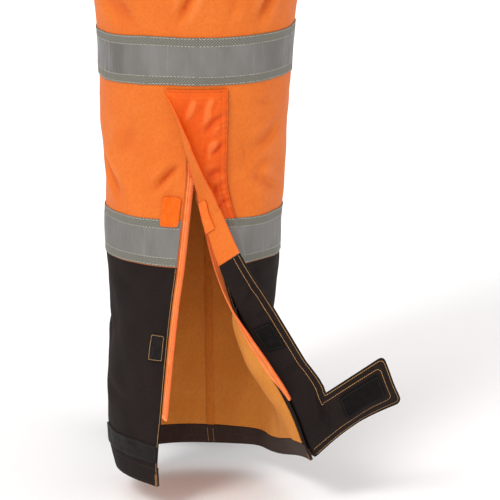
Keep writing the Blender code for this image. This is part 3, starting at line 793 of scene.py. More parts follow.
def flapSheet(leg):
    # Distances run from the flap's seam. It passes over the zip; the open one rolls over at its crest.
    # Its rows lie closer at both rounded corners of the tab.
    heights = [0.0, 0.7, 1.6, 3.0] + rowsBetween(5.0, 49.0, 4.0) + [51.0, 52.4, 53.3, flap["tabHeight"]]
    heights += rowsBetween(flap["tabHeight"] + 2.0, flap["top"], 2.0)
    heights += [garment["darkTop"] - garment["seamGap"], garment["darkTop"] + garment["seamGap"]]
    heights.sort()
    front, back = leg.front, leg.back

    def onLeg(height):
        crest, faces, rise = readTable(flapTurn, height) if leg.opened else (flap["width"], 0.0, 0.0)
        crest = min(crest, flap["width"])
        distances = crest * (np.arange(flapMesh["onLeg"] + 1) / flapMesh["onLeg"]) ** 1.25
        stand = flap["stand"] if leg.opened else flap["closedStand"]
        base = garment["cloth"] + flap["gap"]
        lifts = base + (stand - base) * smooth(distances / flap["ramp"])
        ease = flap["topEase"]
        lifts *= 1.0 - float(smooth((height - flap["top"] + ease) / ease)) * (1.0 - base / stand)
        fromZip = flap["seam"] - distances
        points = np.zeros((len(distances), 3))
        ways = np.zeros((len(distances), 3))
        ahead = fromZip >= 0.0
        points[ahead], ways[ahead] = front.row(height, fromZip[ahead], lifts[ahead], False)
        past = ~ahead
        if past.any() and height < zipper["apex"] and leg.opened:
            edge, way = front.row(height, np.array([0.0, 2.0]), lifts[past][0], False)
            run = (edge[0] - edge[1]) / np.linalg.norm(edge[0] - edge[1])
            points[past] = edge[0] - run * fromZip[past][:, None]
            ways[past] = way[0]
        elif past.any():
            points[past], ways[past] = back.row(height, -fromZip[past], lifts[past], False)
        return crest, faces, rise, distances, points, ways

    def crestLine(low, high):
        line = onLeg(high)[4][-1] - onLeg(low)[4][-1]
        return line / np.linalg.norm(line)

    # The hem tab turns over one straight line, and above it the crest follows the leg.
    tabLine = crestLine(0.0, flap["tabHeight"] + flap["tabBlend"])
    tabWay = onLeg(flap["tabWayAt"])
    rows = []
    for height in heights:
        crest, faces, rise, distances, points, ways = onLeg(height)
        if leg.opened:
            reach = flap["crestReach"]
            line = crestLine(max(height - reach, 0.0), min(height + reach, flap["top"]))
            way = points[-1] - points[-2]
            outward = ways[-1]
            tab = 1.0 - float(smooth((height - flap["tabHeight"]) / flap["tabBlend"]))
            line = line * (1.0 - tab) + tabLine * tab
            way = way / np.linalg.norm(way) * (1.0 - tab)
            tabStep = tabWay[4][-1] - tabWay[4][-2]
            way = way + tabStep / np.linalg.norm(tabStep) * tab
            outward = outward * (1.0 - tab) + tabWay[5][-1] * tab
            more = rolled(points[-1], way, outward, line, crest, faces, rise, height)
        else:
            more = wrapped(back, height)
        rows.append([np.concatenate([a, b]) for a, b in zip((distances, points, ways), more)])
    distances, points, ways = (np.array([row[k] for row in rows]) for k in range(3))
    if leg.opened:
        points += eased(points, np.array(heights), distances, flap["easing"])
        ways = unit(ways + eased(ways, np.array(heights), distances, flap["easing"], 0.0))
    sheet = Sheet(heights, distances, points, ways)
    sheet.bends = lambda height, at: creaseLift(flapCreases, height, at) + seamPucker(height, at)
    return sheet


pucker = {"middle": 5.0, "reach": 5.0, "pitch": 8.0, "slant": 0.25, "depth": 0.5, "groove": 0.6,
          "grooveReach": 1.1, "calmBelow": 40.0}


def seamPucker(height, at):
    # Small gathers between the two stitch lines along the flap's seam.
    near = np.exp(-((at - pucker["middle"]) / pucker["reach"]) ** 2)
    turn = 2.0 * math.pi * (height + pucker["slant"] * at) / pucker["pitch"]
    groove = sum(np.exp(-((at - row) / pucker["grooveReach"]) ** 2) for row in flap["rows"][1:])
    waver = np.sin(turn + 2.1 * np.sin(turn * 0.23)) * (0.7 + 0.3 * np.sin(turn * 0.11))
    gathers = pucker["depth"] * near * waver - pucker["groove"] * groove
    return gathers * smooth(height / pucker["calmBelow"])


def tabEnd(height):
    # How far the tab reaches at one height: its end has rounded corners.
    corner = flap["tabCorner"]
    inset = max(corner - height, corner - (flap["tabHeight"] - height), 0.0)
    inset = min(inset, corner)
    return flap["tabReach"] - corner + math.sqrt(max(corner ** 2 - inset ** 2, 0.0))


def rolled(point, way, outward, line, crest, faces, rise, height):
    # The part beyond the crest: a roll round the crest line, then straight on.
    point, way, outward, line = (Vector(v) for v in (point, way, outward, line))
    way.normalize()
    outward.normalize()
    line.normalize()
    axis = line if line.cross(way).dot(outward) > 0.0 else -line
    heading = math.degrees(math.atan2(-way.x, -way.y)) % 360.0
    turn = math.radians(heading - faces)
    left = max(flap["width"] - crest, 0.4)
    roll = turn * flap["roll"]
    if roll > 0.8 * left:
        turn *= 0.8 * left / roll
        roll = 0.8 * left
    distances, points, ways = [], [], []
    distance, steps = crest, flapMesh["roll"]
    for k in range(steps):
        spin = Matrix.Rotation(turn * (k + 0.5) / steps, 3, axis)
        point = point + (spin @ way) * (roll / steps)
        distance += roll / steps
        distances.append(distance)
        points.append(point)
        ways.append(Matrix.Rotation(turn * (k + 1) / steps, 3, axis) @ outward)
    spin = Matrix.Rotation(turn, 3, axis)
    facing = spin @ outward
    ahead = Matrix.Rotation(math.radians(-rise), 3, facing) @ (spin @ way)
    rest = flap["width"] - distance if flap["width"] > distance else 0.2
    reaches = [rest * (k + 1) / flapMesh["turned"] for k in range(flapMesh["turned"])]
    end = tabEnd(height)
    reaches += [rest + end * (k + 1) / flapMesh["tab"] for k in range(flapMesh["tab"])]
    hollow = flap["tabHollow"] * max(1.0 - height / flap["tabHeight"], 0.0)
    for reach in reaches:
        distances.append(distance + reach)
        points.append(point + ahead * reach + line * hollow * math.sin(math.pi * reach / reaches[-1]))
        ways.append(facing)
    return np.array(distances), np.array(points), np.array(ways)


def wrapped(back, height):
    # The closed flap's tab, which wraps round the back of the leg.
    count = flapMesh["roll"] + flapMesh["turned"] + flapMesh["tab"]
    end = tabEnd(min(height, flap["tabHeight"]))
    steps = end * (np.arange(count) + 1) / count
    distances = flap["width"] + steps
    points, ways = back.row(height, distances - flap["seam"], flap["tabStand"], False)
    return distances, points, ways


def flapPiece(leg, sheet, name, low, high, finishes):
    count = flapMesh["onLeg"] + flapMesh["roll"] + flapMesh["turned"] + 1
    tabFrom = count if leg.opened else flapMesh["onLeg"] + 1
    columns = sheet.points.shape[1]
    points, ways, measure, folds = [], [], [], []
    heights = [height for height in sheet.heights if low - 0.01 <= height <= high + 0.01]
    for height in heights:
        at = sheet.raw(height)[0]
        found, way = sheet.row(height, at, 0.0)
        points.append(found)
        ways.append(way)
        measure.append(np.stack([at, np.full(columns, height)], 1))
        folds.append(sheet.bends(height, at))
    keep = np.ones((len(heights) - 1, columns - 1), bool)
    for k in range(len(heights) - 1):
        if heights[k + 1] > flap["tabHeight"] + 0.01:
            keep[k, tabFrom - 1:] = False
    grid = {"points": np.array(points), "ways": np.array(ways), "measure": np.array(measure),
            "keep": keep, "folds": np.array(folds) * flapMesh["paintedFoldLight"]}
    return clothPiece(name, [grid], garment["cloth"], finishes)


def patchPiece(sheet, name, low, high, near, far, lift, finish, sign=1.0, corner=3.0):
    # A rounded patch between two heights and two distances.
    heights = set(rowsBetween(low + corner, high - corner, 2.0))
    for share in (0.0, 0.25, 0.55, 1.0):
        heights |= {low + share * corner, high - share * corner}
    heights = sorted(heights)

    def columns(height):
        close = max(corner - (height - low), corner - (high - height), 0.0)
        inset = corner - math.sqrt(max(corner ** 2 - close ** 2, 0.0))
        return np.linspace(near + inset, far - inset, max(5, int((far - near) / 2.0)))

    return clothPiece(name, [block(sheet, heights, columns, lift, sign)], garment["patch"], [finish])


# Sewing threads: sizes of one stitch, and of the bar that binds a corner.
stitch = {"pitch": 2.4, "length": 2.15, "width": 0.5, "height": 0.36, "dip": 0.12}
tapeStitch = {"pitch": 3.8, "length": 2.8}
bar = {"pitch": 0.7, "half": 1.8, "width": 0.8, "height": 0.7}
rodRing = ((0.5, 0.0), (0.25, 0.85), (-0.25, 0.85), (-0.5, 0.0))
rodRings = ((0.0, 0.45), (0.22, 1.0), (0.78, 1.0), (1.0, 0.45))    # place along it, size


def along(corners, step=3.0):
    # Distances and heights at even steps along straight lines between corners.
    distances, heights = [], []
    for (d0, h0), (d1, h1) in zip(corners[:-1], corners[1:]):
        share = np.arange(max(2, int(math.hypot(d1 - d0, h1 - h0) / step)))
        share = share / len(share)
        distances.append(d0 + (d1 - d0) * share)
        heights.append(h0 + (h1 - h0) * share)
    distances.append(np.array([corners[-1][0]]))
    heights.append(np.array([corners[-1][1]]))
    return np.concatenate(distances), np.concatenate(heights)


class Thread:
    # Rows of stitches of one colour: each is a low rounded rod that dips into the cloth at its ends.
    def __init__(self, name, finish, width=stitch["width"], height=stitch["height"]):
        self.name, self.finish, self.width, self.height = name, finish, width, height
        self.vertices, self.faces = [], []

    def rod(self, start, end, way, width=None, height=None):
        width, height = width or self.width, height or self.height
        along = end - start
        across = np.cross(unit(along), way)
        first = len(self.vertices)
        for t, size in rodRings:
            centre = start + along * t
            for aside, up in rodRing:
                offset = across * aside * width * size + way * (up * height * size - stitch["dip"])
                self.vertices.append(centre + offset)
        for k in range(3):
            a, b = first + 4 * k, first + 4 * (k + 1)
            for j in range(3):
                self.faces.append((a + j, b + j, b + j + 1, a + j + 1))
        self.faces.append((first + 3, first + 2, first + 1, first))
        self.faces.append((first + 12, first + 13, first + 14, first + 15))

    def path(self, points, ways, pitch=None, length=None):
        # Stitches along a polyline that lies on the cloth.
        pitch, length = pitch or stitch["pitch"], length or stitch["length"]
        points, ways = np.asarray(points), np.asarray(ways)
        steps = np.concatenate([[0.0], np.cumsum(np.linalg.norm(np.diff(points, axis=0), axis=1))])
        count = int(steps[-1] / pitch)
        if count < 1:
            return
        middles = (np.arange(count) + 0.5) * steps[-1] / count

        def onPath(table, at):
            return np.stack([np.interp(at, steps, table[:, j]) for j in range(3)], 1)

        starts, ends = onPath(points, middles - length / 2), onPath(points, middles + length / 2)
        for start, end, way in zip(starts, ends, unit(onPath(ways, middles))):
            self.rod(start, end, way)

    def line(self, sheet, corners, lift, inside=False):
        # Along (distance, height) corners of a sheet, on its outer or inner side.
        distances, heights = along(corners)
        points, ways = sheet.spots(heights, distances, lift)
        self.path(points, -ways if inside else ways)

    def bartack(self, sheet, distance, low, high, lift, turn=1.0):
        # Close zigzag stitches that bind a corner. turn is -1 on the inner side of the sheet.
        for k in range(int((high - low) / bar["pitch"])):
            height = low + bar["pitch"] * k
            start, way = sheet.spot(height, distance - bar["half"], lift)
            end = sheet.spot(height + bar["pitch"] / 2, distance + bar["half"], lift)[0]
            self.rod(start, end, way * turn, bar["width"], bar["height"])

    def level(self, sheet, height, first, last, lift, inside=False):
        # Along one height of a sheet.
        distances = np.arange(first, last, 3.0)
        points, ways = sheet.row(height, distances, lift)
        self.path(points, -ways if inside else ways)

    def finished(self):
        made = solidPiece(self.name, self.vertices, self.faces, self.finish)
        made.data.shade_smooth()
        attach(made, "root")


def solidPiece(name, vertices, faces, finish):
    # Many small closed solids as one piece, with their faces turned outwards.
    mesh = bpy.data.meshes.new(name)
    mesh.from_pydata(toWorld(vertices).tolist(), [], faces)
    mesh.materials.append(finish)
    shape = bmesh.new()
    shape.from_mesh(mesh)
    bmesh.ops.recalc_face_normals(shape, faces=shape.faces)
    shape.to_mesh(mesh)
    shape.free()
    made = bpy.data.objects.new(name, mesh)
    bpy.context.scene.collection.objects.link(made)
    return made


bibCreases = (
    # angle, height, to angle, to height, half width, depth, bow
    (-60.0, 1062.0, -18.0, 1100.0, 4.0, 2.4, 3.0),
    (58.0, 1066.0, 20.0, 1116.0, 4.5, 2.2, -3.0),
    (-30.0, 1236.0, -12.0, 1180.0, 3.5, 1.8, 2.0),
    (33.0, 1244.0, 14.0, 1170.0, 4.0, 2.0, -2.0),
    (-8.0, 1150.0, 22.0, 1130.0, 5.0, 1.4, 3.0),
    (-44.0, 1120.0, -20.0, 1140.0, 4.0, 1.4, -2.0),
)


def bodySpot(height, angle, lift, behind):
    # A point round the body above the waist, by its angle in degrees from the front or back middle.
    side, front = readTable(rings, height)[2:]
    sign = 1.0 if behind else -1.0
    turn = math.radians(angle)
    point = np.array([side * math.sin(turn), sign * front * math.cos(turn), height])
    way = unit(np.array([math.sin(turn) / side, sign * math.cos(turn) / front, 0.0]))
    fade = float(smooth((height - bib["calmTop"]) / bib["calmOver"]))
    creases = creaseLift(bibCreases, height, np.array([-sign * angle]))
    swells = waveLift(height, np.array([angle * bib["perDegree"]]), bib["waves"])
    return point + way * (lift + fade * float(creases[0] + swells[0])), way


def bibReach(height, behind):
    return readTable(bibEdge, height)[1 if behind else 0]


def bibPiece(name, behind, finishes):
    top = bib["backTop"] if behind else bib["frontTop"]
    heights = rowsBetween(garment["waist"] + garment["seamGap"], top, bib["step"])
    points, ways, measure = [], [], []
    for height in heights:
        reach = bibReach(height, behind)
        half = readTable(rings, height)[2] * math.radians(reach) * bib["flatShare"]
        row = []
        for k in range(bib["columns"] + 1):
            share = 2.0 * k / bib["columns"] - 1.0
            point, way = bodySpot(height, reach * share, 0.0, behind)
            row.append((point, way, (half * share, height)))
        points.append([item[0] for item in row])
        ways.append([item[1] for item in row])
        measure.append([item[2] for item in row])
    grid = {"points": np.array(points), "ways": np.array(ways), "measure": np.array(measure)}
    return clothPiece(name, [grid], garment["cloth"], finishes)


def curvePoint(before, start, stop, after, t):
    first, last = (stop - before) / 2, (after - start) / 2
    return (start * (2 * t ** 3 - 3 * t ** 2 + 1) + stop * (3 * t ** 2 - 2 * t ** 3)
            + first * (t ** 3 - 2 * t ** 2 + t) + last * (t ** 3 - t ** 2))


def strapCentres(side, step=12):
    path = [np.array([side * aside, back, height]) for aside, back, height in strapPath]
    centres = []
    for k in range(len(path) - 1):
        before, after = path[max(k - 1, 0)], path[min(k + 2, len(path) - 1)]
        for t in range(step):
            centres.append(curvePoint(before, path[k], path[k + 1], after, t / step))
    return centres + [path[-1]]


def webbingPiece(name, centres, ways, across, finish):
    # Webbing with a flat selvedge on each side of its ribs.
    reaches = strap["width"] / 2 * np.linspace(-1.0, 1.0, 21)
    flat = strap["selvedge"]
    edge = np.clip((np.abs(reaches) - strap["width"] / 2 + flat) / flat, 0.0, 1.0)
    sink = strap["selvedgeSink"] * edge ** 2
    points, rowWays, measure, run = [], [], [], 0.0
    for k, centre in enumerate(centres):
        run += float(np.linalg.norm(centre - centres[k - 1])) if k else 0.0
        offset = across[k][None] * reaches[:, None] - ways[k][None] * sink[:, None]
        points.append(centre[None] + offset)
        rowWays.append(np.repeat(ways[k][None], len(reaches), 0))
        measure.append(np.stack([reaches, np.full(len(reaches), run)], 1))
    grid = {"points": np.array(points), "ways": np.array(rowWays), "measure": np.array(measure)}
    return clothPiece(name, [grid], strap["thickness"], [finish])


def strapFrames(side):
    centres = strapCentres(side)
    across = [np.array([1.0, 0.0, 0.0])] * len(centres)
    ways = []
    for k, centre in enumerate(centres):
        along = centres[min(k + 1, len(centres) - 1)] - centres[max(k - 1, 0)]
        way = unit(np.cross(across[0], along))
        if way @ (centre - np.array([centre[0], 0.0, bib["backTop"]])) < 0.0:
            way = -way
        ways.append(way)
    return centres, ways, across


def strapEndFrames(side):
    aside = strapPath[-1][0]
    centres, ways, across = [], [], []
    for height in rowsBetween(*strap["endRows"], 3.0):
        wide = readTable(rings, height)[2]
        angle = math.degrees(math.asin(side * aside / wide))
        point, way = bodySpot(height, angle, garment["cloth"] + garment["layerGap"] + 1.0, False)
        centres.append(point)
        ways.append(way)
        across.append(unit(np.cross(way, np.array([0.0, 0.0, 1.0]))))
    return centres, ways, across


# Hard pieces, modelled from blocks.
buckle = {"wide": 46.0, "deep": 8.0, "tall": 48.0, "forward": 109.5, "bottom": 1298.0}
slider = {"wide": 9.0, "deep": 2.6, "tall": 12.0, "height": 336.0, "lift": 0.6}


def box(name, centre, size, rounding, segments=3):
    deselect()
    bpy.ops.mesh.primitive_cube_add(size=1.0, location=centre)
    made = bpy.context.object
    made.name = name
    made.scale = size
    bpy.ops.object.transform_apply(location=False, rotation=False, scale=True)
    bpy.ops.object.mode_set(mode="EDIT")
    bpy.ops.mesh.select_all(action="SELECT")
    bpy.ops.mesh.bevel(offset=rounding, segments=segments, affect="EDGES")
    bpy.ops.object.mode_set(mode="OBJECT")
    return made


def cutAway(body, cutter):
    hollow = body.modifiers.new("Cut", "BOOLEAN")
    hollow.operation = "DIFFERENCE"
    hollow.object = cutter
    deselect()
    body.select_set(True)
    bpy.context.view_layer.objects.active = body
    bpy.ops.object.modifier_apply(modifier=hollow.name)
    bpy.data.objects.remove(cutter)


def joined(name, pieces, finish):
    deselect()
    for piece in pieces:
        piece.select_set(True)
    bpy.context.view_layer.objects.active = pieces[0]
    bpy.ops.object.join()
    made = bpy.context.object
    bpy.ops.object.transform_apply(location=True, rotation=True, scale=True)
    made.name = name
    made.data.materials.clear()
    made.data.materials.append(finish)
    bpy.ops.object.shade_smooth_by_angle(angle=math.radians(35.0))
    return made


def makeBuckle(word, side, finish):
    # A side-release buckle: a body with a window, two side prongs and a bar for the webbing.
    x = side * strapPath[-1][0] * mm
    y = -buckle["forward"] * mm
    z = (buckle["bottom"] - garment["shoulders"]) * mm
    wide, deep, tall = (buckle[key] * mm for key in ("wide", "deep", "tall"))
    body = box("buckleBody", (x, y, z + tall * 0.33), (wide, deep, tall * 0.66), 2.2 * mm)
    window = box("buckleWindow", (x, y - deep * 0.45, z + tall * 0.36),
                 (wide * 0.52, deep * 0.5, tall * 0.3), 1.4 * mm)
    cutAway(body, window)
    slot = box("webbingSlot", (x, y - deep * 0.5, z + tall * 0.09), (wide * 0.86, deep * 0.7, tall * 0.07),
               0.6 * mm)
    cutAway(body, slot)
    pieces = [body]
    for sign in (-1.0, 1.0):
        prong = box("prong", (x + sign * wide * 0.39, y - deep * 0.05, z + tall * 0.52),
                    (wide * 0.2, deep * 0.82, tall * 0.34), 1.8 * mm)
        pieces.append(prong)
    pieces.append(box("tongue", (x, y + deep * 0.08, z + tall * 0.74), (wide * 0.56, deep * 0.7, tall * 0.2),
                      1.2 * mm))
    pieces.append(box("ladder", (x, y, z + tall * 0.9), (wide * 0.98, deep * 0.8, tall * 0.18), 1.6 * mm))
    for k in range(3):
        pieces.append(box("rib", (x, y - deep * 0.38, z + tall * (0.66 + 0.035 * k)),
                          (wide * 0.4, deep * 0.14, 0.8 * mm), 0.3 * mm, 2))
    return joined(f"buckle_{word}", pieces, finish)


def makeSlider(leg, finish):
    # The slider's two faces on its neck, and its pull lying flat above it.
    centre = Vector(toWorld(leg.front.spot(slider["height"], 0.0, slider["lift"])[0]))
    wide, deep, tall = (slider[key] * mm for key in ("deep", "wide", "tall"))
    body = box("sliderBody", centre, (wide * 0.95, deep, tall), 1.0 * mm)
    groove = box("sliderGroove", centre + Vector((0.0, 0.0, -tall * 0.3)),
                 (wide * 2.0, deep * 0.16, tall * 0.3), 0.3 * mm)
    cutAway(body, groove)
    bridge = box("sliderBridge", centre + Vector((-wide * 0.42, 0.0, tall * 0.1)),
                 (wide * 0.35, deep * 0.3, tall * 0.62), 0.35 * mm, 2)
    pull = box("sliderPull", centre + Vector((-wide * 0.44, 0.0, tall * 0.62)),
               (wide * 0.28, deep * 0.5, tall * 0.9), 0.3 * mm, 2)
    eye = box("pullEye", centre + Vector((-wide * 0.44, 0.0, tall * 0.82)),
              (wide * 2.0, deep * 0.22, tall * 0.24), 0.3 * mm, 2)
    cutAway(pull, eye)
    return joined("zip_slider", [body, bridge, pull], finish)


def zipTeeth(leg, face, shift):
    # One coil of the zip as small bent teeth on the very edge of its tape.
    sheet = leg.half(face)
    long, tall, thick = zipper["toothSize"]
    below, above = zipper["toothEnds"]
    vertices, faces = [], []
    count = int((zipper["top"] - above - zipper["end"]) / zipper["toothPitch"])
    for k in range(count):
        height = zipper["end"] + below + (k + shift) * zipper["toothPitch"]
        out = zipper["toothOut"][height <= zipper["apex"]]
        start, way = sheet.spot(height, -out, zipper["toothLift"])
        inner = sheet.spot(height, long - zipper["toothOut"][1], zipper["toothLift"])[0]
        along = unit(start - inner)
        up = unit(np.cross(way, along))
        first = len(vertices)
        for t, size in zipper["toothRings"]:
            for aside, rise in ((-0.5, -0.5), (0.5, -0.5), (0.5, 0.5), (-0.5, 0.5)):
                corner = up * aside * tall * size + way * rise * thick * size
                vertices.append(inner + along * long * t + corner)
        for ring in range(3):
            a, b = first + 4 * ring, first + 4 * ring + 4
            for j in range(4):
                faces.append((a + j, a + (j + 1) % 4, b + (j + 1) % 4, b + j))
        faces.append((first, first + 1, first + 2, first + 3))
        faces.append((first + 15, first + 14, first + 13, first + 12))
    return solidPiece(f"zip_coil_{face}", vertices, faces, finish["zipCoil"])


def linear(code):
    # A colour written as #rrggbb, as the renderer wants it.
    made = []
    for k in (1, 3, 5):
        value = int(code[k:k + 2], 16) / 255.0
        made.append(value / 12.92 if value <= 0.04045 else ((value + 0.055) / 1.055) ** 2.4)
    return (*made, 1.0)


def feed(tree, node, inputs):
    # Sets a node's inputs, given by name or in their order, or links one to another node's output.
    for key, value in inputs.items() if isinstance(inputs, dict) else enumerate(inputs):
        if isinstance(value, bpy.types.NodeSocket):
            tree.links.new(value, node.inputs[key])
        else:
            node.inputs[key].default_value = value


def addNode(tree, kind, inputs, output=0, **settings):
    # Adds a node with its settings and inputs, and gives one of its outputs.
    node = tree.nodes.new(f"ShaderNode{kind}")
    for key, value in settings.items():
        setattr(node, key, value)
    feed(tree, node, inputs)
    return node.outputs[output]


def newFinish(name, sockets):
    # A new material, what adds nodes to it, and two sets of coordinates: along the cloth laid flat,
    # and in the solid object.
    material = bpy.data.materials.new(name)
    material.use_nodes = True
    tree = material.node_tree
    feed(tree, tree.nodes["Principled BSDF"], sockets)
    add = partial(addNode, tree)
    return material, add, add("TexCoord", (), "UV"), add("TexCoord", (), "Object")


def completed(material, colour, roughness, height, depth):
    # Joins a colour, a roughness and a raised pattern of this depth in millimetres to the shader.
    tree = material.node_tree
    relief = addNode(tree, "Bump", {"Height": height, "Distance": depth * mm, "Strength": 1.0})
    shader = tree.nodes["Principled BSDF"]
    feed(tree, shader, {"Base Color": colour, "Roughness": roughness, "Normal": relief})
    return material


def wovenRibs(add, place, pitch, waver, slant):
    # Ribs this many millimetres apart, slanted by so many degrees.
    place = add("Mapping", {"Vector": place, "Rotation": (0.0, 0.0, math.radians(slant))})
    scale = 2.0 * math.pi / 20.0 / (pitch * mm)
    return add("TexWave", {"Vector": place, "Scale": scale, "Distortion": waver, "Detail": 1.0,
                           "Detail Scale": 2.0}, "Fac")


def mottled(add, place, size, detail, stretch=(1.0, 1.0, 1.0), slant=0.0):
    # Clouded spots of about this many millimetres, longer in a direction where stretch is below one.
    place = add("Mapping", {"Vector": place, "Scale": stretch, "Rotation": (0.0, 0.0, math.radians(slant))})
    return add("TexNoise", {"Vector": place, "Scale": 1.0 / (size * mm), "Detail": detail,
                            "Roughness": 0.55}, "Fac")


def layered(add, colour, layers):
    # Colours laid over a first one: each shows, up to its share, as its pattern goes from low to high.
    for pattern, low, high, share, over in layers:
        amount = add("MapRange", (pattern, low, high, 0.0, share))
        over = linear(over) if isinstance(over, str) else over
        colour = add("Mix", {0: amount, 6: colour, 7: over}, 2, data_type="RGBA")
    return colour


def heaped(add, parts):
    # One height from several patterns, each times its share.
    height = 0.0
    for pattern, share in parts:
        height = add("Math", (pattern, share, height), operation="MULTIPLY_ADD")
    return height


def twill(name, base, worn, deep, roughness, sheen, tint, gloss=0.2, creaseShade=None, ridgeHighlight=None):
    # Cotton-rich twill, woven: dull, with slanting ribs, slubs and a slightly clouded dye. Its real ribs
    # are 0.4 mm apart, too fine to show, so they are drawn 1.5 mm apart.
    material, add, flat, solid = newFinish(name, {
        "Sheen Weight": sheen, "Sheen Roughness": 0.5, "Sheen Tint": linear(tint),
        "Specular IOR Level": gloss})
    ribs = wovenRibs(add, flat, 1.5, 0.6, 58.0)
    cross = wovenRibs(add, flat, 1.9, 0.8, -32.0)
    slubs = mottled(add, flat, 1.43, 2.0, (0.17, 1.0, 1.0))
    cloud = mottled(add, solid, 38.5, 4.0)
    specks = mottled(add, solid, 2.94, 2.0)
    lumps = mottled(add, solid, 11.1, 3.0)
    # Painted shade down in a crease and a painted highlight on the ridges beside it, set by how far the
    # cloth is bent.
    foldLightMask = add("Attribute", (), "Fac", attribute_name="fold")
    colour = layered(add, linear(base), (
        # pattern, low, high, share, colour
        (cloud, 0.35, 0.68, 0.7, worn),
        (specks, 0.42, 0.7, 0.35, deep),
        (ribs, 1.0, 0.0, 0.16, deep),
        # Without colours of their own for these, the deep and worn colours serve as the painted crease shade
        # and ridge highlight.
        (foldLightMask, -0.7, -4.0, 0.6, creaseShade or deep),
        (foldLightMask, 0.7, 2.6, 0.36, ridgeHighlight or worn),
    ))
    height = heaped(add, ((ribs, 0.55), (cross, 0.25), (slubs, 0.5), (lumps, 1.8)))
    rough = add("MapRange", (cloud, 0.3, 0.7, roughness - 0.06, min(roughness + 0.08, 1.0)))
    return completed(material, colour, rough, height, 0.22)


def reflectiveTape(name, low, high):
    # Glass-beaded tape: a glossy middle, and dull borders that the needle's feed has crosshatched
    # outside its stitch lines.
    material, add, flat, solid = newFinish(name, {"Specular IOR Level": 0.5, "Sheen Weight": 0.0})
    aside = add("SeparateXYZ", {"Vector": flat}, "X")
    height = add("SeparateXYZ", {"Vector": flat}, "Y")
    fromLow = add("Math", (height, low * mm), operation="SUBTRACT")
    fromHigh = add("Math", (high * mm, height), operation="SUBTRACT")
    fromEdge = add("Math", (fromLow, fromHigh), operation="MINIMUM")
    inset, soft = tapeLook["inset"], tapeLook["borderSoft"]
    border = add("MapRange", (fromEdge, (inset + soft) * mm, (inset - soft) * mm, 0.0, 1.0))
    hatch = add("Math", [wovenRibs(add, flat, 2.1, 0.3, slant) for slant in (45.0, -45.0)],
                operation="MULTIPLY")
    cloud = mottled(add, solid, 20.83, 3.0, (1.0, 1.0, 0.45))
    folds = mottled(add, flat, 5.263, 2.0, (1.0, 0.12, 1.0))
    rubbed = add("MapRange", (mottled(add, flat, 90.9, 1.0, (1.0, 0.5, 1.0)), 0.56, 0.66, 0.0, 1.0))
    # Painted shade: the tape is darker towards the front and back, where the leg turns away from the light.
    sideShade = add("Math", (aside,), operation="ABSOLUTE")
    edge = layered(add, linear("#57554D"), ((hatch, 0.0, 1.0, 1.0, "#979586"),))
    colour = layered(add, linear("#68645F"), (
        # pattern, low, high, share, colour
        (cloud, 0.3, 0.7, 1.0, "#767370"),
        (rubbed, 0.0, 1.0, 0.6, "#4A4640"),
        (folds, 0.6, 0.78, 0.3, "#93918C"),
        (sideShade, 0.045, 0.11, 0.75, "#4C4843"),
        (border, 0.0, 1.0, 1.0, edge),
    ))
    rough = add("Mix", {0: border, 2: add("MapRange", (rubbed, 0.0, 1.0, 0.46, 0.3)), 3: 0.62})
    onBorder = add("Math", (hatch, border), operation="MULTIPLY")
    height = heaped(add, ((onBorder, 0.8), (folds, 1.3), (cloud, 1.6)))
    return completed(material, colour, rough, height, 0.55)


def ribbedCloth(name, base, worn, roughness, sheen, pitch, slant, depth):
    # Woven tape and webbing: dull, with ribs along or across it that take the light on their tops.
    material, add, flat, solid = newFinish(name, {
        "Sheen Weight": sheen, "Sheen Roughness": 0.5, "Specular IOR Level": 0.2})
    ribs = wovenRibs(add, flat, pitch, 0.2, slant)
    weave = wovenRibs(add, flat, 1.4 * pitch, 0.4, 90.0 - slant)
    cloud = mottled(add, solid, 12.5, 3.0)
    colour = layered(add, linear(base), ((cloud, 0.35, 0.7, 1.0, worn), (ribs, 0.5, 0.0, 0.45, base)))
    height = heaped(add, ((ribs, 1.0), (weave, 0.35), (cloud, 0.6)))
    return completed(material, colour, roughness, height, depth)


def napped(name, base, worn, grain, sheen):
    # Touch fastener: a thick nap of nylon loops or hooks this many millimetres apart, which looks matt.
    material, add, _, solid = newFinish(name, {
        "Sheen Weight": sheen, "Sheen Roughness": 0.35, "Specular IOR Level": 0.15})
    nap = add("TexVoronoi", {"Vector": solid, "Scale": 1.0 / (grain * mm)}, "Distance")
    cloud = mottled(add, solid, 6.25, 4.0)
    colour = layered(add, linear(base), ((cloud, 0.3, 0.72, 1.0, worn),))
    return completed(material, colour, 0.95, heaped(add, ((cloud, 1.2), (nap, -1.0))), 0.7)


def moulded(name, base, roughness, gloss):
    # Acetal and nylon as they come from the mould: a satin grain with paler scuffs.
    material, add, _, solid = newFinish(name, {"Specular IOR Level": gloss})
    grain = mottled(add, solid, 1.11, 3.0)
    scuffs = mottled(add, solid, 16.7, 4.0, (1.0, 1.0, 6.0), 20.0)
    colour = layered(add, linear(base), ((scuffs, 0.55, 0.75, 0.4, "#4A4846"),))
    rough = add("MapRange", (scuffs, 0.3, 0.7, roughness - 0.08, roughness + 0.14))
    return completed(material, colour, rough, grain, 0.08)


def enamelled(name, base):
    # Enamelled zinc: a thin coat of colour, worn to the metal at a few rubbed spots.
    material, add, _, solid = newFinish(name, {"Coat Weight": 0.05, "Coat Roughness": 0.3})
    worn = add("MapRange", (mottled(add, solid, 2.38, 3.0), 0.62, 0.7, 0.0, 1.0))
    colour = layered(add, linear(base), ((worn, 0.0, 1.0, 1.0, "#B9703A"),))
    metal = add("MapRange", (worn, 0.0, 1.0, 0.0, 0.6))
    feed(material.node_tree, material.node_tree.nodes["Principled BSDF"], {"Metallic": metal})
    return completed(material, colour, 0.5, mottled(add, solid, 1.43, 3.0), 0.05)


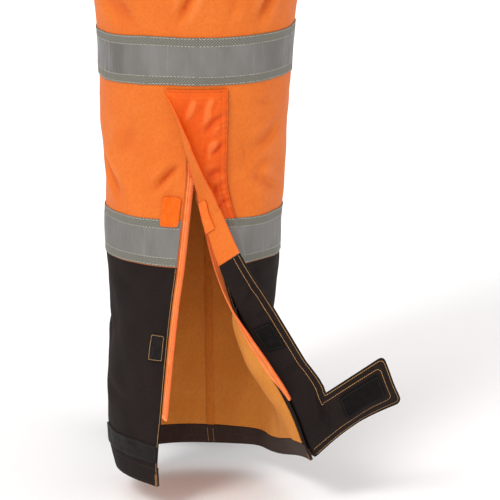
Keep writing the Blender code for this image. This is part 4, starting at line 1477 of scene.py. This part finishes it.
def sewingThread(name, base, light):
    # Spun polyester thread: a slight shine, and plies drawn coarser than the real ones so that they show.
    material, add, _, solid = newFinish(name, {
        "Sheen Weight": 0.1, "Sheen Roughness": 0.4, "Specular IOR Level": 0.35})
    cloud = mottled(add, solid, 1.61, 2.0)
    colour = layered(add, linear(base), ((cloud, 0.3, 0.7, 1.0, light),))
    place = add("Mapping", {"Vector": solid, "Rotation": (0.0, 0.0, math.radians(45.0))})
    plies = add("TexWave", {"Vector": place, "Scale": 2.0 * math.pi / 20.0 / (0.6 * mm), "Detail": 1.0,
                            "Detail Scale": 2.0}, "Fac", bands_direction="DIAGONAL")
    return completed(material, colour, 0.6, plies, 0.12)


finish = {
    # The last two colours of the orange and flap twills are painted shade down in creases and painted
    # highlight on ridges.
    "orangeTwill": twill("orange twill", "#D8691A", "#E07628", "#C4540E", 0.66, 0.06, "#FFC890",
                         0.25, "#C44C08", "#EC8A4A"),
    # The flap's redder, deeper orange is partly its own colour and partly painted shade, with the light
    # bounced in the turned flap's shadow.
    "flapTwill": twill("storm flap twill", "#DE5600", "#E8640C", "#C84000", 0.5, 0.0, "#FFC090",
                       0.22, "#BE3400", "#F48A48"),
    "darkTwill": twill("brown-black twill", "#1D1513", "#29201D", "#120D0C", 0.85, 0.02, "#B8A89C", 0.12),
    "facingTwill": twill("hem facing twill", "#3A2D28", "#483A34", "#261D19", 0.85, 0.05, "#B8A89C",
                         0.15),
    "tanLining": twill("tan twill lining", "#D88834", "#E29646", "#BC7228", 0.86, 0.04, "#FFD8A8"),
    "seamTwill": twill("felled seam twill", "#D07A2C", "#DA8836", "#A85E1E", 0.85, 0.0, "#FFD0A0"),
    "upperTape": reflectiveTape("reflective tape upper", *garment["upperTape"]),
    "lowerTape": reflectiveTape("reflective tape lower", *garment["lowerTape"]),
    "zipTape": ribbedCloth("orange zip tape", "#F6823E", "#FF9A5C", 0.75, 0.0, 2.4, 0.0, 0.3),
    "webbing": ribbedCloth("black elastic webbing", "#1C1A19", "#302D2B", 0.72, 0.3, 1.6, 90.0, 0.5),
    "loopOrange": napped("orange loop tape", "#E25C0C", "#EE6E1E", 1.11, 0.1),
    "hookOrange": napped("orange hook tape", "#E8681C", "#F47C34", 1.43, 0.05),
    "hookDark": napped("black hook tape", "#0B0908", "#15110F", 1.43, 0.0),
    "loopDark": napped("black touch fastener", "#141110", "#262120", 1.11, 0.05),
    "zipCoil": moulded("orange nylon coil", "#F07234", 0.45, 0.5),
    "acetal": moulded("moulded black acetal", "#1B1A1A", 0.4, 0.5),
    "enamel": enamelled("orange enamelled slider", "#D4540C"),
    "goldThread": sewingThread("gold thread", "#C98A44", "#E8B878"),
    "orangeThread": sewingThread("orange thread", "#E2661C", "#EE7C30"),
    "brownThread": sewingThread("brown thread", "#7A4E2A", "#98683C"),
    "threadAndSeamShadow": sewingThread("deep orange thread and seam shadow", "#963A08", "#B24C10"),
    "paleThread": sewingThread("pale grey thread", "#B9B3A2", "#D8D2C0"),
    "darkThread": sewingThread("brown-black thread", "#171210", "#241D1B"),
}
print("finishes made")

threads = {
    "goldStitching": Thread("goldStitching", finish["goldThread"]),
    "orangeStitching": Thread("orangeStitching", finish["orangeThread"]),
    # The flap's seam thread is deeper and wider than real stitching: along the seam it is partly painted
    # shadow.
    "flapStitchingAndSeamShadow": Thread("flapStitchingAndSeamShadow", finish["threadAndSeamShadow"], 0.8, 0.3),
    "cornerStitching": Thread("cornerStitching", finish["brownThread"]),
    "tapeStitching": Thread("tapeStitching", finish["paleThread"]),
    "darkStitching": Thread("darkStitching", finish["darkThread"]),
}
gold, orange = threads["goldStitching"], threads["orangeStitching"]
stitchesAndSeamShadow, brown = threads["flapStitchingAndSeamShadow"], threads["cornerStitching"]
pale, dark = threads["tapeStitching"], threads["darkStitching"]


def buildPanels(leg):
    word, gap = leg.word, garment["seamGap"] / 2
    upper = legShell(leg, f"legUpper_{word}", garment["darkTop"] + gap, garment["waist"] - gap,
                     [finish["orangeTwill"], finish["tanLining"]])
    cloth(upper, [f"front_{word}_upper", f"back_{word}_upper"])
    lower = legShell(leg, f"legLower_{word}", 0.0, garment["darkTop"] - gap, [finish["darkTwill"]])
    cloth(lower, [f"front_{word}_lower", f"back_{word}_lower"])
    return upper


def buildTapes(leg, upper):
    word = leg.word
    low, high = garment["upperTape"]
    piece = tapeBand(leg, f"tapeUpper_{word}", ("front", "back"), low, high, {"front": 0.0, "back": 0.0},
                     finish["upperTape"])
    cloth(piece, [f"tape_upper_front_{word}", f"tape_upper_back_{word}"])
    low, high = garment["lowerTape"]
    for face in ("front", "back"):
        start = tapeStart(leg, face)
        piece = tapeBand(leg, f"tapeLower_{face}_{word}", (face,), low, high, {face: start},
                         finish["lowerTape"])
        cloth(piece, [f"tape_lower_{face}_{word}"])
    for (low, high), lower in ((garment["upperTape"], False), (garment["lowerTape"], True)):
        for face, sign in (("front", 1.0), ("back", -1.0)):
            sheet = leg.half(face)
            first = tapeStart(leg, face) + 1.0 if lower else 0.0
            distances = np.arange(first, sheet.width(low) - 1.0, 3.0)
            lift = tapeLift(leg, face, distances) if lower else sewnLift + 0.0 * distances
            inset, edge = tapeLook["inset"], tapeLook["edgeRow"]
            for height in (low + inset, high - inset, low + edge, high - edge):
                at = height + tapeSag(leg, height, sign * distances)
                above = lift + garment["tape"] + tapeRipple(low, high)(height, sign * distances)
                points, ways = sheet.spots(at, distances, above)
                pale.path(points, ways, tapeStitch["pitch"], tapeStitch["length"])


def buildFlap(leg):
    word = leg.word
    sheet = flapSheet(leg)
    split = garment["darkTop"]
    upper = flapPiece(leg, sheet, f"flapUpper_{word}", split + garment["seamGap"], flap["top"],
                      [finish["flapTwill"], finish["orangeTwill"]])
    cloth(upper, [f"flap_{word}_upper"])
    lower = flapPiece(leg, sheet, f"flapLower_{word}", 0.0, split - garment["seamGap"],
                      [finish["darkTwill"]])
    cloth(lower, [f"flap_{word}_lower"])
    return sheet


def stitchFlap(sheet):
    width, top, split = flap["width"], flap["top"], garment["darkTop"]
    reach, tabTop, cut = flap["width"] + flap["tabReach"], flap["tabHeight"], garment["cloth"]
    corner, hemFrom = 3.0, 12.0
    for inset in flap["edgeRows"]:
        edge = [(width - inset, split + 1.0), (width - inset, top - 3.0)]
        orange.line(sheet, edge, flap["innerLift"], True)
        orange.line(sheet, edge, cut)
        lower = [(width - inset, tabTop - inset), (width - inset, split - 1.0)]
        tab = [(width - inset, tabTop - inset), (reach - inset - corner, tabTop - inset),
               (reach - inset, tabTop - inset - corner), (reach - inset, inset + corner),
               (reach - inset - corner, inset), (hemFrom, inset)]
        for corners in (lower, tab):
            gold.line(sheet, corners, flap["innerLift"], True)
            gold.line(sheet, corners, cut)
    # Above the dark cloth the deep orange rows along the seam are real stitching and partly painted shadow;
    # the row at -0.5 is painted shadow only.
    for inset in flap["rows"]:
        stitchesAndSeamShadow.line(sheet, [(inset, split + 1.0), (inset, top - 2.0)], cut)
        dark.line(sheet, [(inset, 2.0), (inset, split - 1.0)], cut)
    stitchesAndSeamShadow.line(sheet, [(2.0, top - 2.0), (width - 2.0, top - 2.0)], cut)
    orange.line(sheet, [(7.0, top - 8.0), (width - 8.0, top - 8.0)], cut)


def seamRow(thread, sheet, heights, inset, lift, inside=False):
    # A row of stitches beside the far edge of a sheet.
    distances = np.array([sheet.width(height) for height in heights]) - inset
    points, ways = sheet.spots(heights, distances, lift)
    thread.path(points, -ways if inside else ways)


legRows = {
    "hem": (19.0, 2.4),
    "waist": (1036.0, 1030.0),
    "seam": (2.6, 9.0),       # from the inner seam, and from the centre seam above the fork
    "seamTop": 1028.0,
    "forkFrom": 808.0,
    "step": 4.0,
}


def stitchLeg(leg):
    # Double rows along the inner seam, the fork, the waist and the hem.
    split, cut = garment["darkTop"], garment["cloth"]
    for face in ("front", "back"):
        sheet = leg.half(face)
        for height in legRows["hem"]:
            dark.level(sheet, height, leg.edge(0.0) + 2.0, sheet.width(height) - 1.0, cut)
        for height in legRows["waist"]:
            orange.level(sheet, height, 1.0, sheet.width(height) - 1.0, cut)
    between, above = garment["lowerTape"][1] + 1.0, garment["upperTape"][1] + 1.0
    for inset in legRows["seam"]:
        for low, high, thread in ((3.0, split, dark), (between, garment["upperTape"][0] - 1.0, orange),
                                  (above, legRows["seamTop"], orange)):
            seamRow(thread, leg.back, np.arange(low, high, legRows["step"]), inset, cut)
        # The front's centre seam above the fork.
        heights = np.arange(legRows["forkFrom"], legRows["seamTop"], legRows["step"])
        seamRow(orange, leg.front, heights, inset, cut)


openInside = {"low": 20.8, "top": 345.0, "facingTop": 20.0, "facingRow": 17.4}
zipTapeLook = {"edge": 0.15, "step": 2.0, "point": {"front": 26.0, "back": 5.0}, "rowEnds": 6.0}
zipEdgeRow = 0.9      # from the panel's edge beside the zip to its stitches
zipBars = (
    # distance from that edge, low, high, lift, side of the cloth
    (1.4, 1.0, 13.0, garment["cloth"], 1.0),
    (1.8, 0.5, 9.0, innerLift, -1.0),
)


def buildOpening(leg):
    # The open zip with its slider, and the inside of the leg, where it shows.
    edge, split, cut = zipper["edge"], garment["darkTop"], garment["cloth"]
    for face in ("front", "back"):
        name = face.capitalize()
        lining = bandPiece(leg, f"lining{name}", face, openInside["low"], openInside["top"],
                           zipper["reach"] + garment["seamGap"], None, innerLift, garment["lining"],
                           [finish["tanLining"]])
        cloth(lining, [f"lining_{face}"])
        facing = bandPiece(leg, f"hemFacing{name}", face, 0.0, openInside["facingTop"], edge, None,
                           innerLift, garment["lining"], [finish["facingTwill"]], 2.5)
        cloth(facing, [f"hem_facing_{face}"])
        tape = bandPiece(leg, f"zipTape{name}", face, zipper["end"], zipper["top"] - 2.0,
                         zipTapeLook["edge"], zipper["reach"], innerLift, garment["lining"],
                         [finish["zipTape"]], zipTapeLook["step"], zipTapeLook["point"][face])
        cloth(tape, [f"zip_tape_{face}"])
        settle(zipTeeth(leg, face, 0.0 if face == "front" else 0.5), [])
        sheet, row = leg.half(face), edge + zipEdgeRow
        gold.line(sheet, [(row, 4.0), (row, split - 1.0)], cut)
        orange.line(sheet, [(row, split + 1.0), (row, zipper["top"])], cut)
        for inset, low, high, lift, side in zipBars:
            brown.bartack(sheet, edge + inset, low, high, lift, side)
        # Two rows of stitches hold each half of the zip, seen on both sides of its tape.
        for inset in zipper["stitchRows"]:
            ends = zipTapeLook["rowEnds"]
            rows = [(inset, zipper["end"] + ends), (inset, zipper["top"] - ends)]
            stitchesAndSeamShadow.line(sheet, rows, innerLift + garment["lining"])
            stitchesAndSeamShadow.line(sheet, rows, innerLift, True)
    settle(makeSlider(leg, finish["enamel"]), ["zip_slider"])


innerSeam = {
    "width": 10.0,
    "wall": 0.6,
    "under": 0.65,
    # from its front edge: how far, and how much further in than the edge of its far side
    "section": ((0.0, -0.2), (1.2, -0.9), (5.0, -0.9), (8.4, -0.6), (9.0, 0.0)),
    "rows": (0.0, 6.0),
    "hemReach": 19.0,         # from the ring's innermost line forward to the seam, at the hem
    "leans": 6.5,             # and how much nearer it comes higher up
    "leansOver": 240.0,
}


def seamReach(height):
    return innerSeam["hemReach"] - innerSeam["leans"] * float(smooth(height / innerSeam["leansOver"]))


def buildInnerSeam(leg):
    # The inner seam seen from inside: its allowance is felled flat towards the back, and two rows
    # hold it through the facing.
    sheet = leg.front
    low, high = openInside["low"], openInside["top"]
    along, lifts = np.array(innerSeam["section"]).T

    def columns(height):
        return sheet.width(height) - seamReach(height) - along

    grid = block(sheet, rowsBetween(low, high, 4.0), columns, innerLift - innerSeam["under"], 1.0,
                 lambda height, signed: lifts)
    fell = clothPiece("innerSeam", [grid], innerSeam["wall"], [finish["seamTwill"]])
    cloth(fell, [])
    for inset in innerSeam["rows"]:
        seamRow(gold, sheet, np.arange(1.5, 19.0, 2.5), seamReach(10.0) + inset, innerLift, True)
    for face in ("front", "back"):
        half, height = leg.half(face), openInside["facingRow"]
        dark.level(half, height, zipper["edge"] + 2.0, half.width(height) - 2.0, innerLift, True)


patches = {
    # finish, low, high, near, far, lift: on the back of the leg, and below on the turned flap
    "loopPatchOrange": ("loopOrange", 277.0, 308.0, 9.5, 28.5, 2.8),
    "loopPatchDark": ("loopDark", 134.0, 163.0, 9.5, 27.0, 2.0),
    "hookPatchOrange": ("hookOrange", 268.0, 300.0, 35.0, 47.5, -1.9),
    "hookPatchDark": ("hookDark", 127.0, 156.0, 31.0, 51.5, -1.55),
    "hookPatchTab": ("hookDark", 13.5, 40.5, 73.0, 121.0, -1.55),
}
patchThreads = {"loopOrange": orange, "hookOrange": orange, "loopDark": gold, "hookDark": dark}
patchRow = 1.6     # from a patch's edge to its stitches


def buildPatches(leg, flapSheets):
    for name, (look, low, high, near, far, lift) in patches.items():
        onFlap = name.startswith("hook")
        sheet = flapSheets if onFlap else leg.back
        corner = 1.2 if look == "hookOrange" else 3.0
        piece = patchPiece(sheet, name, low, high, near, far, lift, finish[look], corner=corner)
        node = "".join(f"_{letter.lower()}" if letter.isupper() else letter for letter in name)
        cloth(piece, [node])
        left, right, bottom, top = near + patchRow, far - patchRow, low + patchRow, high - patchRow
        ring = [(left, bottom), (left, top), (right, top), (right, bottom), (left, bottom)]
        above = lift + flap["innerLift"] if onFlap else lift + garment["patch"]
        patchThreads[look].line(sheet, ring, above, onFlap)


loopStrip = {"low": 25.0, "high": 44.0, "share": 0.48, "corner": 2.0, "leftFrom": 95.0, "measuredAt": 35.0,
             "row": 2.0}


def buildLoopStrip(leg):
    # The strip that takes the closed tab. On the left leg only what the tab leaves open is built.
    sheet, low, high, row = leg.back, loopStrip["low"], loopStrip["high"], loopStrip["row"]
    edge = zipper["edge"] if leg.opened else 0.15
    first = edge + garment["seamGap"] if leg.opened else loopStrip["leftFrom"]
    last = edge + (sheet.width(loopStrip["measuredAt"]) - 0.15 - edge) * loopStrip["share"]
    piece = patchPiece(sheet, f"loopStrip_{leg.word}", low, high, first, last, sewnLift,
                       finish["loopDark"], -1.0, loopStrip["corner"])
    cloth(piece, [f"loop_strip_{leg.word}"])
    ring = [(first + row, low + row), (last - row, low + row), (last - row, high - row),
            (first + row, high - row), (first + row, low + row)]
    dark.line(sheet, ring, sewnLift + garment["patch"])


bibRows = {"sides": (3.0, 9.5), "top": (3.0, 24.0), "waist": (3.5, 9.5), "waistReach": 86.0}


def stitchBib(behind):
    # Double rows along its edges. The wide gap at the top is its hem.
    top, waist, cut = bib["backTop"] if behind else bib["frontTop"], garment["waist"], garment["cloth"]
    for inset in bibRows["sides"]:
        for sign in (-1.0, 1.0):
            points, ways = [], []
            for height in np.arange(waist + 4.0, top - 3.0, 4.0):
                side = readTable(rings, height)[2]
                angle = bibReach(height, behind) - math.degrees(inset / side)
                point, way = bodySpot(height, sign * angle, cut, behind)
                points.append(point)
                ways.append(way)
            orange.path(points, ways)
    reach = bibReach(top, behind) - 2.0
    rows = [(top - inset, reach, 80) for inset in bibRows["top"]]
    rows += [(waist + rise, bibRows["waistReach"], 150) for rise in bibRows["waist"]]
    for height, reach, count in rows:
        spots = [bodySpot(height, angle, cut, behind) for angle in np.linspace(-reach, reach, count)]
        orange.path([spot[0] for spot in spots], [spot[1] for spot in spots])


def buildTop():
    for name, node, behind in (("bibFront", "bib_front", False), ("bibBack", "bib_back", True)):
        piece = bibPiece(name, behind, [finish["orangeTwill"], finish["tanLining"]])
        cloth(piece, [node])
        stitchBib(behind)
    for side, word in ((-1.0, "right"), (1.0, "left")):
        centres, ways, across = strapFrames(side)
        piece = webbingPiece(f"strap_run_{word}", centres, ways, across, finish["webbing"])
        cloth(piece, [f"strap_{word}"])
        low = [k for k, centre in enumerate(centres) if centre[2] < bib["backTop"] - 4.0]
        boxStitches(centres, ways, across, low[0] + 1, low[-1])
        centres, ways, across = strapEndFrames(side)
        piece = webbingPiece(f"strap_tail_{word}", centres, ways, across, finish["webbing"])
        cloth(piece, [f"strap_end_{word}"])
        boxStitches(centres, ways, across, 1, 14)
        settle(makeBuckle(word, side, finish["acetal"]), [f"buckle_{word}"])


def boxStitches(centres, ways, across, first, last):
    # A square with a cross in it, between two rows of a brace.
    def corner(k, reach):
        return centres[k] + across[k] * reach + ways[k] * strap["thickness"], ways[k]

    reach = strap["width"] / 2 - strap["boxInset"]
    routes = (
        [corner(k, -reach) for k in range(first, last + 1)],
        [corner(k, reach) for k in range(first, last + 1)],
        [corner(first, t * reach) for t in np.linspace(-1.0, 1.0, 9)],
        [corner(last, t * reach) for t in np.linspace(-1.0, 1.0, 9)],
        [corner(k, reach * (2.0 * (k - first) / (last - first) - 1.0)) for k in range(first, last + 1)],
        [corner(k, reach * (1.0 - 2.0 * (k - first) / (last - first))) for k in range(first, last + 1)],
    )
    for route in routes:
        dark.path([item[0] for item in route], [item[1] for item in route])


for side, word in ((-1.0, "right"), (1.0, "left")):
    leg = Leg(side, word)
    buildTapes(leg, buildPanels(leg))
    flapCloth = buildFlap(leg)
    stitchFlap(flapCloth)
    stitchLeg(leg)
    buildLoopStrip(leg)
    if leg.opened:
        buildOpening(leg)
        buildInnerSeam(leg)
        buildPatches(leg, flapCloth)
    print("leg made", word)
buildTop()
print("bib and braces made")
for thread in threads.values():
    thread.finished()
print("stitches made")


view = {
    "target": (-0.115, -0.0554, -1.219),
    "distance": 4.0,
    "elevation": 13.8,
    "lens": 275.0,
}
light = {"dim": 0.42, "bright": 1.15, "roomFrom": (-0.5, -0.1, 0.85), "key": 1.3, "keySize": 18.0,
         "keyFrom": (-0.66, 0.42, 0.72)}

deselect()
bpy.ops.mesh.primitive_plane_add(size=60.0, location=(0.0, 0.0, -1.48))
floor = bpy.context.object
floor.name = "floor"
paper, add, _, solid = newFinish("white paper", {"Roughness": 0.9, "Specular IOR Level": 0.0})
shade = add("MapRange", (mottled(add, solid, 333.0, 3.0), 0.3, 0.7, 0.95, 0.97))
feed(paper.node_tree, paper.node_tree.nodes["Principled BSDF"], {"Base Color": shade})
floor.data.materials.append(paper)

# A bright studio room, brighter towards the key light.
world = bpy.data.worlds.new("studio")
world.use_nodes = True
room = world.node_tree
add = partial(addNode, room)
roomFrom = Vector(light["roomFrom"]).normalized()
towards = add("VectorMath", (add("TexCoord", (), "Generated"), roomFrom), "Value", operation="DOT_PRODUCT")
strength = add("MapRange", (towards, -1.0, 1.0, light["dim"], light["bright"]))
feed(room, room.nodes["Background"], {"Strength": strength, "Color": (1.0, 1.0, 1.0, 1.0)})
bpy.context.scene.world = world
bpy.context.scene.view_settings.view_transform = "Standard"

key = bpy.data.lights.new("key", "SUN")
key.energy = light["key"]
key.angle = math.radians(light["keySize"])
lamp = bpy.data.objects.new("key", key)
lamp.rotation_euler = Vector(light["keyFrom"]).to_track_quat("Z", "Y").to_euler()
bpy.context.scene.collection.objects.link(lamp)

target = Vector(view["target"])
rise = math.radians(view["elevation"])
lens = bpy.data.cameras.new("camera")
lens.lens = view["lens"]
lens.sensor_width = 36.0
lens.clip_end = 200.0
camera = bpy.data.objects.new("camera", lens)
camera.location = target + view["distance"] * Vector((-math.cos(rise), 0.0, math.sin(rise)))
camera.rotation_euler = (target - camera.location).to_track_quat("-Z", "Y").to_euler()
bpy.context.scene.collection.objects.link(camera)
bpy.context.scene.camera = camera
